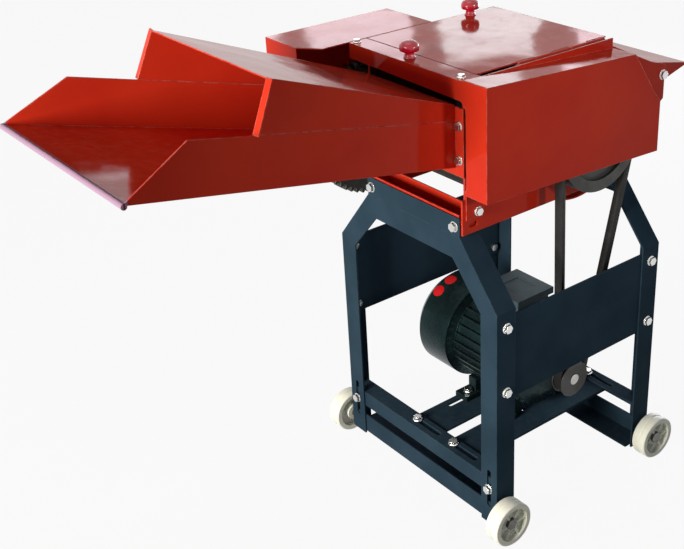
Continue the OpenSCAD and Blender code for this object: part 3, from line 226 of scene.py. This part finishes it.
framePaint = {
    "colour": (0.026, 0.052, 0.080, 1), "deep": (0.018, 0.038, 0.060, 1), "cloudScale": 9.0,
    "gritScale": 90.0, "roughness": 0.34, "gritGloss": 0.1, "ior": 1.2, "specular": 0.05,
    "specularTint": (0.22, 0.42, 0.72, 1),
    "edgeRadius": 0.0016, "edgeRub": 0.45, "edgeColour": (0.12, 0.18, 0.23, 1),
    "scratchRun": (170.0, 170.0, 5.0), "scratch": 0.25, "scratchColour": (0.14, 0.18, 0.22, 1),
    "dust": 0.14, "dustColour": (0.09, 0.105, 0.11, 1),
    "peelScale": 520.0, "peelDepth": 0.00006, "waveScale": 12.0, "waveDepth": 0.0006}
motorPaint = {
    "colour": (0.009, 0.019, 0.021, 1), "deep": (0.005, 0.010, 0.012, 1), "cloudScale": 14.0,
    "gritScale": 130.0, "roughness": 0.22, "gritGloss": 0.1, "ior": 1.32, "specular": 0.4,
    "specularTint": (0.2, 0.7, 0.85, 1),
    "edgeRadius": 0.0011, "edgeRub": 0.45, "edgeColour": (0.085, 0.11, 0.115, 1),
    "scratchRun": (60.0, 60.0, 60.0), "scratch": 0.0, "scratchColour": (0.1, 0.1, 0.1, 1),
    "dust": 0.10, "dustColour": (0.08, 0.100, 0.105, 1),
    "peelScale": 300.0, "peelDepth": 0.00035, "waveScale": 40.0, "waveDepth": 0.0004}
# Painted shade: near black paint on the throat plate stands in for the shade in the cavity under the cover's
# arm
throatShadePaint = dict(
    framePaint, colour=(0.010, 0.009, 0.009, 1), deep=(0.006, 0.005, 0.005, 1),
    specularTint=(0.5, 0.45, 0.45, 1), edgeColour=(0.10, 0.07, 0.06, 1), scratchColour=(0.06, 0.05, 0.05, 1))
boxPaint = dict(
    motorPaint, colour=(0.050, 0.074, 0.092, 1), deep=(0.035, 0.053, 0.067, 1), roughness=0.34,
    edgeColour=(0.18, 0.22, 0.25, 1))

metalMarks = {
    "grainNoise": (4.0, 0.6), "cloudNoise": (5.0, 0.6), "pitNoise": (3.0, 0.6), "cloudSpan": (0.36, 0.68),
    "pitSpan": (0.6, 0.72), "grainGloss": 0.12, "cloudGloss": 0.1, "pitGloss": 0.15, "rubGloss": 0.1,
    "specular": 0.4}


# Bare and plated metal: grain along one way, cloudy oxide, fine pits, edges rubbed bright
def bareMetal(name, look):
    material, start = newFinish(name)
    place = surfacePlace(start)
    marks = metalMarks
    grain = noiseAt(stretched(place, look["grainRun"]), 1.0, *marks["grainNoise"])
    cloud = noiseAt(place, look["cloudScale"], *marks["cloudNoise"])
    pits = smooth(noiseAt(place, look["pitScale"], *marks["pitNoise"]), *marks["pitSpan"])
    rounded = roundedNormal(start, look["edgeRadius"])
    rub = edgeMask(start, rounded)
    colour = mixColour(smooth(cloud, *marks["cloudSpan"]), look["colour"], look["oxide"])
    colour = mixColour(pits * look["pits"], colour, look["pitColour"])
    colour = mixColour(rub * look["edgeRub"], colour, look["edgeColour"])
    gloss = look["roughness"] + grain * marks["grainGloss"] + cloud * marks["cloudGloss"]
    gloss = gloss + pits * marks["pitGloss"] - rub * marks["rubGloss"]
    height = grain * look["grainDepth"] - pits * look["pitDepth"]
    finishWith(start, {
        "Base Color": colour, "Metallic": look["metallic"], "Roughness": gloss,
        "Specular IOR Level": marks["specular"], "Normal": bumped(start, height, rounded)})
    return material


zincPlate = {
    "colour": (0.74, 0.74, 0.72, 1), "oxide": (0.60, 0.61, 0.60, 1), "metallic": 1.0, "roughness": 0.16,
    "cloudScale": 70.0, "grainRun": (220.0, 220.0, 220.0), "grainDepth": 0.00002,
    "pitScale": 500.0, "pits": 0.25, "pitDepth": 0.00002, "pitColour": (0.42, 0.40, 0.36, 1),
    "edgeRadius": 0.0007, "edgeRub": 0.5, "edgeColour": (0.86, 0.86, 0.84, 1)}
turnedSteel = {
    "colour": (0.52, 0.52, 0.51, 1), "oxide": (0.36, 0.345, 0.33, 1), "metallic": 1.0, "roughness": 0.2,
    "cloudScale": 26.0, "grainRun": (40.0, 900.0, 40.0), "grainDepth": 0.00002,
    "pitScale": 240.0, "pits": 0.4, "pitDepth": 0.00003, "pitColour": (0.24, 0.20, 0.17, 1),
    "edgeRadius": 0.0008, "edgeRub": 0.6, "edgeColour": (0.72, 0.72, 0.71, 1)}
axleSteel = dict(
    turnedSteel, colour=(0.15, 0.15, 0.145, 1), oxide=(0.085, 0.078, 0.070, 1), roughness=0.3,
    edgeColour=(0.34, 0.34, 0.33, 1))
castIron = {
    "colour": (0.060, 0.063, 0.061, 1), "oxide": (0.042, 0.041, 0.038, 1), "metallic": 0.7, "roughness": 0.36,
    "cloudScale": 30.0, "grainRun": (420.0, 420.0, 420.0), "grainDepth": 0.00022,
    "pitScale": 260.0, "pits": 0.6, "pitDepth": 0.00018, "pitColour": (0.05, 0.042, 0.036, 1),
    "edgeRadius": 0.0012, "edgeRub": 0.5, "edgeColour": (0.26, 0.26, 0.25, 1)}
bushBronze = {
    "colour": (0.58, 0.39, 0.15, 1), "oxide": (0.40, 0.25, 0.10, 1), "metallic": 1.0, "roughness": 0.24,
    "cloudScale": 45.0, "grainRun": (60.0, 800.0, 60.0), "grainDepth": 0.00002,
    "pitScale": 320.0, "pits": 0.4, "pitDepth": 0.00003, "pitColour": (0.22, 0.13, 0.06, 1),
    "edgeRadius": 0.0006, "edgeRub": 0.5, "edgeColour": (0.78, 0.58, 0.27, 1)}

plasticMarks = {
    "cloudNoise": (4.0, 0.55), "gritNoise": (6.0, 0.7), "cloudSpan": (0.35, 0.7), "soilFade": 0.22,
    "cloudGloss": 0.08, "soilGloss": 0.3, "coatRoughness": 0.05}


# Moulded plastic: fine spark-eroded texture, faint flow clouds, dirt where it is handled or rolls
def mouldedPlastic(name, look):
    material, start = newFinish(name)
    place = surfacePlace(start)
    marks = plasticMarks
    cloud = noiseAt(place, look["cloudScale"], *marks["cloudNoise"])
    grit = noiseAt(place, look["gritScale"], *marks["gritNoise"])
    rounded = roundedNormal(start, look["edgeRadius"])
    colour = mixColour(smooth(cloud, *marks["cloudSpan"]), look["colour"], look["deep"])
    soil = smooth(grit, look["soilFrom"], look["soilFrom"] + marks["soilFade"]) * look["soil"]
    colour = mixColour(soil, colour, look["soilColour"])
    gloss = look["roughness"] + cloud * marks["cloudGloss"] + soil * marks["soilGloss"]
    height = noiseAt(place, look["grainScale"]) * look["grainDepth"]
    finishWith(start, {
        "Base Color": colour, "Roughness": gloss, "Specular IOR Level": look["specular"],
        "Coat Weight": look["coat"], "Coat Roughness": marks["coatRoughness"],
        "Normal": bumped(start, height, rounded)})
    return material


wheelNylon = {
    "colour": (0.90, 0.92, 0.85, 1), "deep": (0.82, 0.86, 0.76, 1), "cloudScale": 22.0, "gritScale": 85.0,
    "soil": 0.18, "soilFrom": 0.56, "soilColour": (0.42, 0.40, 0.33, 1), "roughness": 0.42, "coat": 0.0,
    "specular": 0.45, "edgeRadius": 0.001, "grainScale": 700.0, "grainDepth": 0.00005}
knobPlastic = {
    "colour": (0.60, 0.007, 0.036, 1), "deep": (0.50, 0.005, 0.024, 1), "cloudScale": 40.0,
    "gritScale": 160.0, "soil": 0.2, "soilFrom": 0.6, "soilColour": (0.30, 0.05, 0.06, 1),
    "roughness": 0.16, "coat": 0.4, "specular": 0.5, "edgeRadius": 0.0008, "grainScale": 500.0,
    "grainDepth": 0.00002}
fanPlastic = {
    "colour": (0.022, 0.022, 0.023, 1), "deep": (0.014, 0.014, 0.015, 1), "cloudScale": 40.0,
    "gritScale": 120.0, "soil": 0.4, "soilFrom": 0.5, "soilColour": (0.11, 0.105, 0.09, 1),
    "roughness": 0.45, "coat": 0.0, "specular": 0.4, "edgeRadius": 0.0008, "grainScale": 800.0,
    "grainDepth": 0.00006}
markerFilm = {
    "colour": (0.62, 0.016, 0.020, 1), "deep": (0.50, 0.010, 0.014, 1), "cloudScale": 60.0,
    "gritScale": 220.0, "soil": 0.25, "soilFrom": 0.58, "soilColour": (0.24, 0.10, 0.09, 1),
    "roughness": 0.3, "coat": 0.2, "specular": 0.4, "edgeRadius": 0.0004, "grainScale": 900.0,
    "grainDepth": 0.00002}


# Fabric-wrapped rubber: crossed threads, polished where it runs, grey belt dust
def wrappedRubber(name, look):
    material, start = newFinish(name)
    place = surfacePlace(start)
    warp, weft = [
        start.node("ShaderNodeTexWave", {"bands_direction": direction}, {
            "Vector": place, "Scale": look["threads"], "Distortion": look["threadBend"],
            "Detail": look["threadDetail"]}, "Fac")
        for direction in ("DIAGONAL", "Y")]
    weave = warp * weft
    wear = smooth(noiseAt(place, look["wearScale"], *look["wearNoise"]), *look["wearSpan"])
    colour = mixColour(weave * look["threadShow"], look["colour"], look["thread"])
    colour = mixColour(wear * look["dust"], colour, look["dustColour"])
    finishWith(start, {
        "Base Color": colour, "Roughness": look["roughness"] - wear * look["wearGloss"],
        "Specular IOR Level": look["specular"], "Normal": bumped(start, weave * look["threadDepth"])})
    return material


beltRubber = {
    "colour": (0.007, 0.007, 0.007, 1), "thread": (0.017, 0.017, 0.018, 1), "threads": 260.0,
    "threadBend": 0.6, "threadDetail": 1.0, "threadShow": 0.6, "threadDepth": 0.00015, "roughness": 0.62,
    "specular": 0.3, "wearScale": 24.0, "wearNoise": (5.0, 0.6), "wearSpan": (0.42, 0.7), "wearGloss": 0.15,
    "dust": 0.3, "dustColour": (0.040, 0.038, 0.036, 1)}

finishes = {
    "red_paint": enamel("redEnamel", redPaint),
    "frame_paint": enamel("frameEnamel", framePaint),
    "motor_paint": enamel("motorEnamel", motorPaint),
    "box_paint": enamel("boxEnamel", boxPaint),
    "zinc_bolts": bareMetal("zincPlate", zincPlate),
    "bare_steel": bareMetal("turnedSteel", turnedSteel),
    "cast_iron": bareMetal("castIron", castIron),
    "bush_bronze": bareMetal("bushBronze", bushBronze),
    "wheel_nylon": mouldedPlastic("wheelNylon", wheelNylon),
    "knob_plastic": mouldedPlastic("knobPlastic", knobPlastic),
    "fan_plastic": mouldedPlastic("fanPlastic", fanPlastic),
    "belt_rubber": wrappedRubber("beltRubber", beltRubber)}
ownFinishes = {
    "feed_tray": enamel("trayEnamel", trayPaint),
    # Painted shade on the throat plate: near black, where the cavity under the arm lies in shade
    "throat_plate": enamel("throatPaintedShade", throatShadePaint),
    "wheel_axles": bareMetal("axleSteel", axleSteel)}
markerFinish = mouldedPlastic("markerFilm", markerFilm)
print("finishes made:", len(finishes) + len(ownFinishes) + 1)


# Every CAD node takes its own finish or its slot's, and its sharp sheet and cast edges are eased
edgeEase = {"weld": 0.00002, "angle": 35, "flatAngle": 0.5, "segments": 2,
            "widths": {"red_paint": 0.0006, "frame_paint": 0.0008, "motor_paint": 0.0009, "box_paint": 0.0022,
                       "zinc_bolts": 0.0005, "bare_steel": 0.0004, "cast_iron": 0.0008, "bush_bronze": 0.0004,
                       "wheel_nylon": 0.0012, "knob_plastic": 0.0006, "fan_plastic": 0.0004,
                       "belt_rubber": 0.0006}}


def easeEdges(obj, width):
    weld = obj.modifiers.new("weldSeams", "WELD")
    weld.merge_threshold = edgeEase["weld"]
    flat = obj.modifiers.new("joinFlats", "DECIMATE")
    flat.decimate_type = "DISSOLVE"
    flat.angle_limit = math.radians(edgeEase["flatAngle"])
    ease = obj.modifiers.new("easeEdges", "BEVEL")
    ease.width = width
    ease.segments = edgeEase["segments"]
    ease.limit_method = "ANGLE"
    ease.angle_limit = math.radians(edgeEase["angle"])
    ease.face_strength_mode = "FSTR_ALL"
    level = obj.modifiers.new("levelNormals", "WEIGHTED_NORMAL")
    level.use_face_influence = True


for row in frame["record"]["subparts"]:
    obj = nodes[row["node"]]
    obj.data.materials.clear()
    obj.data.materials.append(ownFinishes.get(row["node"], finishes[row["material_slot"]]))
    easeEdges(obj, edgeEase["widths"][row["material_slot"]])


def makePiece(name, verts, faces, body, slotName, finish):
    mesh = bpy.data.meshes.new(name)
    mesh.from_pydata(verts, [], faces)
    mesh.validate()
    made = bmesh.new()
    made.from_mesh(mesh)
    bmesh.ops.recalc_face_normals(made, faces=made.faces)
    made.to_mesh(mesh)
    made.free()
    mesh.materials.append(finish)
    obj = bpy.data.objects.new(name, mesh)
    bpy.context.scene.collection.objects.link(obj)
    if body:
        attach(obj, body)
    return obj


def shadeSmooth(obj, angle):
    obj.data.polygons.foreach_set("use_smooth", [True] * len(obj.data.polygons))
    obj.data.set_sharp_from_angle(angle=math.radians(angle))


# Rings of points joined into a tube, closed on itself or capped at both ends
def joinRings(rings, closed):
    count = len(rings[0])
    verts = [point for ring in rings for point in ring]
    faces = []
    last = len(rings) if closed else len(rings) - 1
    for i in range(last):
        here = i * count
        after = (i + 1) % len(rings) * count
        for j in range(count):
            k = (j + 1) % count
            faces.append((here + j, after + j, after + k, here + k))
    if not closed:
        faces.append(tuple(range(count)))
        faces.append(tuple(range((len(rings) - 1) * count, len(rings) * count)))
    return verts, faces


def middleOf(node):
    low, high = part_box(node)
    return (low + high) / 2


def radiusOf(node):
    low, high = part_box(node)
    return (high.z - low.z) / 2


def anglesRound(count):
    return [2 * math.pi * j / count for j in range(count)]


# Drive belt: a V section with eased corners, round both pulleys
belt = {"width": 0.0168, "innerWidth": 0.0120, "thick": 0.0098, "ease": 0.0009, "easeBulge": 0.3,
        "rimDepth": 0.0021, "arcSteps": 56, "runSteps": 36, "smoothAngle": 40, "heldReach": 0.4}


# Points of the section: places across the belt, and depths below its back
def beltSection():
    wide = belt["width"] / 2
    narrow = belt["innerWidth"] / 2
    ease = belt["ease"]
    bulge = ease * belt["easeBulge"]
    thick = belt["thick"]
    half = [(wide - ease, 0), (wide - bulge, -bulge), (wide, -ease), (narrow + bulge, -thick + ease),
            (narrow - ease, -thick)]
    return half + [(-y, depth) for y, depth in reversed(half)]


def beltPath():
    top = middleOf("driven_pulley")
    low = middleOf("motor_pulley")
    topR = radiusOf("driven_pulley") - belt["rimDepth"]
    lowR = radiusOf("motor_pulley") - belt["rimDepth"]
    apart = Vector((low.x - top.x, low.z - top.z))
    along = math.atan2(apart.y, apart.x)
    spread = math.acos((topR - lowR) / apart.length)
    path = []
    for centre, radius, first, sweep in ((top, topR, along + spread, 2 * math.pi - 2 * spread),
                                         (low, lowR, along - spread, 2 * spread)):
        for i in range(belt["arcSteps"] + 1):
            turn = first + sweep * i / belt["arcSteps"]
            out = Vector((math.cos(turn), 0, math.sin(turn)))
            path.append((centre + out * radius, out))
    return path


def makeBelt():
    path = beltPath()
    section = beltSection()
    half = belt["arcSteps"] + 1
    route = []
    for start in (0, half):
        route += path[start:start + half]
        leaves, out = path[start + half - 1]
        lands = path[(start + half) % len(path)][0]
        for i in range(1, belt["runSteps"]):
            route.append((leaves.lerp(lands, i / belt["runSteps"]), out))
    rings = [[point + Vector((0, y, 0)) + out * depth for y, depth in section] for point, out in route]
    obj = makePiece("driveBelt", *joinRings(rings, True), None, "belt_rubber", finishes["belt_rubber"])
    shadeSmooth(obj, belt["smoothAngle"])
    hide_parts("drive_belt")
    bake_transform(obj)


makeBelt()
print("belt made")


# Pressure springs: ground ends, part of a turn closed at each end, open coils between
spring = {"wire": 0.0032, "turns": 7, "closed": 0.8, "closedPitch": 1.04, "ground": 0.5, "perTurn": 40,
          "sides": 12, "keep": 0.85, "smoothAngle": 50}


def springHeight(turn, tall):
    closed = spring["closed"]
    pitch = spring["wire"] * spring["closedPitch"]
    openTurns = spring["turns"] - 2 * closed
    openRise = (tall - 2 * closed * pitch) / openTurns
    first = min(turn, closed) * pitch
    middle = min(max(turn - closed, 0), openTurns) * openRise
    return first + middle + max(turn - closed - openTurns, 0) * pitch


def makeSprings():
    low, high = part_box("pressure_springs")
    radius = (high.x - low.x - spring["wire"]) / 2
    r = spring["wire"] / 2
    cut = r * spring["ground"]
    tall = high.z - low.z - spring["wire"]
    middleX = (low.x + high.x) / 2
    steps = spring["turns"] * spring["perTurn"]
    for name, y in (("pressureSpringNear", low.y + radius + r), ("pressureSpringFar", high.y - radius - r)):
        rings = []
        for i in range(steps + 1):
            turn = i / spring["perTurn"]
            out = Vector((math.cos(turn * 2 * math.pi), math.sin(turn * 2 * math.pi), 0))
            centre = Vector((middleX, y, low.z + r + springHeight(turn, tall))) + out * radius
            ring = []
            for a in anglesRound(spring["sides"]):
                point = centre + out * r * math.cos(a) + Vector((0, 0, r * math.sin(a)))
                point.z = min(max(point.z, low.z + cut), high.z - cut)
                ring.append(point)
            rings.append(ring)
        obj = makePiece(name, *joinRings(rings, False), "root", "bare_steel", finishes["bare_steel"])
        shadeSmooth(obj, spring["smoothAngle"])
        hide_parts("pressure_springs")
        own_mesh(obj)


makeSprings()
print("springs made")


# Lid knobs: a turned mushroom with a waisted neck and a crowned cap, in shares of its radius and height.
# The stud and the gap at its seat are in metres
knob = {"steps": 56, "neck": 0.47, "foot": 0.62, "footTall": 0.04, "flare": 2.5, "neckSteps": 7,
        "neckDrop": 0.10, "capLow": 0.40, "capRim": 0.60, "crown": 12, "crownRound": 0.8,
        "underCap": [(0.53, -0.03), (0.72, 0.0), (0.93, 0.015), (0.985, 0.05), (1.0, 0.1)],
        "studRadius": 0.0040, "seatGap": 0.0004, "smoothAngle": 45}


# Radii and heights from the stud's lower end to the top of the crown
def knobProfile(r, tall, studLow):
    neck, foot, footTall = knob["neck"], knob["foot"], knob["footTall"]
    capLow, capRim = knob["capLow"], knob["capRim"]
    points = [(knob["studRadius"], studLow), (knob["studRadius"], knob["seatGap"]),
              (r * foot, knob["seatGap"]), (r * foot, tall * footTall)]
    for i in range(1, knob["neckSteps"]):
        t = i / knob["neckSteps"]
        flare = neck + (foot - neck) * (1 - t) ** knob["flare"]
        points.append((r * flare, tall * (footTall + (capLow - knob["neckDrop"]) * t)))
    points += [(r * out, tall * (capLow + up)) for out, up in knob["underCap"]]
    for i in range(knob["crown"]):
        a = math.pi / 2 * i / knob["crown"]
        points.append((r * math.cos(a) ** knob["crownRound"], tall * (capRim + (1 - capRim) * math.sin(a))))
    return points


def makeKnob(name, node, body):
    low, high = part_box(node)
    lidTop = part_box("lid")[1].z
    centre = (low + high) / 2
    profile = knobProfile((high.x - low.x) / 2, high.z - lidTop, low.z - lidTop)
    rings = [[Vector((centre.x + q * math.cos(a), centre.y + q * math.sin(a), lidTop + z))
              for a in anglesRound(knob["steps"])] for q, z in profile]
    obj = makePiece(name, *joinRings(rings, False), body, "knob_plastic", finishes["knob_plastic"])
    shadeSmooth(obj, knob["smoothAngle"])
    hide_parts(node)


makeKnob("lidKnobFront", "lid_knob_front", "knob_front")
makeKnob("lidKnobRear", "lid_knob_rear", "knob_rear")
print("knobs made")


# Two plain round markers on the fan cowl, bent to its curve
marker = {"radius": 0.011, "lift": 0.0003, "thick": 0.0005, "rings": 6, "steps": 40, "weld": 0.00001,
          "smoothAngle": 40, "places": [(126.0, 0.064), (107.0, 0.062)]}


def makeMarker(name, angle, inset):
    low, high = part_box("fan_cowl")
    axis = middleOf("motor_shaft")
    cowlR = (high.x - low.x) / 2
    verts = []
    for level in (marker["lift"], marker["lift"] + marker["thick"]):
        for i in range(marker["rings"] + 1):
            q = marker["radius"] * i / marker["rings"]
            for a in anglesRound(marker["steps"]):
                turn = math.radians(angle) + q * math.cos(a) / cowlR
                verts.append((axis.x + (cowlR + level) * math.cos(turn), low.y + inset + q * math.sin(a),
                              axis.z + (cowlR + level) * math.sin(turn)))
    count = marker["steps"]
    layer = (marker["rings"] + 1) * count
    faces = []
    for i in range(marker["rings"]):
        for j in range(count):
            k = (j + 1) % count
            inner = i * count
            outer = inner + count
            faces.append((inner + j, inner + k, outer + k, outer + j))
            faces.append((layer + inner + j, layer + outer + j, layer + outer + k, layer + inner + k))
    rim = marker["rings"] * count
    for j in range(count):
        k = (j + 1) % count
        faces.append((rim + j, rim + k, layer + rim + k, layer + rim + j))
    obj = makePiece(name, verts, faces, "motor_carriage", "knob_plastic", markerFinish)
    made = bmesh.new()
    made.from_mesh(obj.data)
    bmesh.ops.remove_doubles(made, verts=made.verts, dist=marker["weld"])
    made.to_mesh(obj.data)
    made.free()
    shadeSmooth(obj, marker["smoothAngle"])


for i, (angle, inset) in enumerate(marker["places"]):
    makeMarker(f"cowlMarker{i + 1}", angle, inset)
print("markers made")


# Camera at the photograph's viewpoint, in a frame of 684 by 549
viewpoint = {"place": (-0.9872, -1.2831, 1.2486), "forward": (0.5653, 0.6998, -0.4368), "roll": -1.688,
             "lens": 60.494, "sensor": 36.0, "shift": (-0.1175, -0.0564)}


def makeCamera():
    lensData = bpy.data.cameras.new("viewCamera")
    lensData.sensor_fit = "HORIZONTAL"
    lensData.sensor_width = viewpoint["sensor"]
    lensData.lens = viewpoint["lens"]
    lensData.shift_x, lensData.shift_y = viewpoint["shift"]
    lensData.dof.use_dof = False
    obj = bpy.data.objects.new("viewCamera", lensData)
    aim = Vector(viewpoint["forward"]).to_track_quat("-Z", "Y").to_matrix().to_4x4()
    roll = Matrix.Rotation(math.radians(viewpoint["roll"]), 4, "Z")
    obj.matrix_world = Matrix.Translation(viewpoint["place"]) @ aim @ roll
    bpy.context.scene.collection.objects.link(obj)
    bpy.context.scene.camera = obj


# Soft boxes: a warm key from the tray's end, one overhead, a narrow one on the near covers, one from the
# outlet's end, and cool ones at the back for the top sheets
softBoxes = {
    "key": {"place": (-2.9, -0.3, 1.1), "aim": (0.1, 0.0, 0.5), "size": (1.0, 1.0), "power": 132.0,
            "colour": (1.0, 0.93, 0.82)},
    "overhead": {"place": (-0.1, 0.3, 2.7), "aim": (0.1, 0.0, 0.5), "size": (1.4, 1.4), "power": 7.0,
                 "colour": (1.0, 0.99, 0.97)},
    "side": {"place": (0.9, -2.4, 1.25), "aim": (0.12, -0.27, 0.78), "size": (0.3, 0.3), "power": 0.7,
             "colour": (1.0, 0.93, 0.90), "spread": 35},
    "rear": {"place": (2.6, 0.5, 0.5), "aim": (0.3, 0.0, 0.45), "size": (1.2, 0.7), "power": 32.0,
             "colour": (0.98, 0.98, 1.0)},
    "backFar": {"place": (1.38, 2.85, 1.62), "aim": (0.1, 0.25, 0.74), "size": (0.36, 0.36), "power": 1.7,
                "colour": (0.96, 0.90, 1.0)},
    "backLeft": {"place": (1.76, 2.50, 1.58), "aim": (0.2, 0.0, 0.74), "size": (0.44, 0.34), "power": 1.6,
                 "colour": (0.98, 0.92, 1.0)},
    "backMiddle": {"place": (2.15, 2.12, 1.55), "aim": (0.2, 0.0, 0.74), "size": (0.40, 0.26), "power": 1.3,
                   "colour": (0.84, 0.97, 1.0)},
    "backRight": {"place": (2.52, 1.70, 1.60), "aim": (0.2, 0.0, 0.74), "size": (0.40, 0.34), "power": 1.7,
                  "colour": (0.97, 0.91, 1.0)}}


def makeSoftBox(name, look):
    lamp = bpy.data.lights.new(name, "AREA")
    lamp.shape = "RECTANGLE"
    lamp.size, lamp.size_y = look["size"]
    lamp.energy = look["power"]
    lamp.color = look["colour"]
    if "spread" in look:
        lamp.spread = math.radians(look["spread"])
    obj = bpy.data.objects.new(name, lamp)
    obj.location = look["place"]
    direction = Vector(look["aim"]) - Vector(look["place"])
    obj.rotation_euler = direction.to_track_quat("-Z", "Y").to_euler()
    bpy.context.scene.collection.objects.link(obj)


studio = {"fill": 0.08, "fillColour": (0.94, 0.97, 1.0, 1), "white": (1, 1, 1, 1), "floorSize": 60.0,
          "floorWhite": 0.93, "floorColour": (0.34, 0.34, 0.34, 1), "mottleColour": (0.78, 0.78, 0.78, 1),
          "mottleScale": 3.0, "mottleDetail": 3.0, "mottleSpan": (0.3, 0.7), "mottle": 0.05}


# 1 for what the camera sees, straight or in a reflection
def shownRay(start):
    seen = start.node("ShaderNodeLightPath", output="Is Camera Ray")
    glossy = start.node("ShaderNodeLightPath", output="Is Glossy Ray")
    through = start.node("ShaderNodeLightPath", output="Is Transmission Ray")
    return start.maths("MINIMUM", seen + glossy + through, 1.0)


# The lit sky is dim, and shows as plain white to the camera and in reflections
def makeWorld():
    world = bpy.data.worlds.new("studioSky")
    world.use_nodes = True
    world.node_tree.nodes.clear()
    start = Wire(world.node_tree)
    dim = start.node("ShaderNodeBackground", {}, {"Color": studio["fillColour"], "Strength": studio["fill"]})
    white = start.node("ShaderNodeBackground", {}, {"Color": studio["white"], "Strength": 1.0})
    sky = start.node("ShaderNodeMixShader", {}, {0: shownRay(start), 1: dim, 2: white})
    start.node("ShaderNodeOutputWorld", {}, {"Surface": sky})
    bpy.context.scene.world = world


def makeFloor():
    material, start = newFinish("studioFloor")
    place = surfacePlace(start)
    mottle = smooth(noiseAt(place, studio["mottleScale"], studio["mottleDetail"]), *studio["mottleSpan"])
    colour = mixColour(mottle * studio["mottle"], studio["floorColour"], studio["mottleColour"])
    matt = start.node("ShaderNodeBsdfDiffuse", {}, {"Color": colour})
    glow = start.node("ShaderNodeEmission", {}, {"Color": studio["white"], "Strength": 1.0})
    shown = shownRay(start) * studio["floorWhite"]
    mixed = start.node("ShaderNodeMixShader", {}, {0: shown, 1: matt, 2: glow})
    start.node("ShaderNodeOutputMaterial", {}, {"Surface": mixed})
    s = studio["floorSize"]
    mesh = bpy.data.meshes.new("studioFloor")
    mesh.from_pydata([(-s, -s, 0), (s, -s, 0), (s, s, 0), (-s, s, 0)], [], [(0, 1, 2, 3)])
    mesh.materials.append(material)
    obj = bpy.data.objects.new("studioFloor", mesh)
    bpy.context.scene.collection.objects.link(obj)


makeCamera()
for name, look in softBoxes.items():
    makeSoftBox(name, look)
makeWorld()
makeFloor()
bpy.context.scene.view_settings.view_transform = "Standard"
print("studio set")
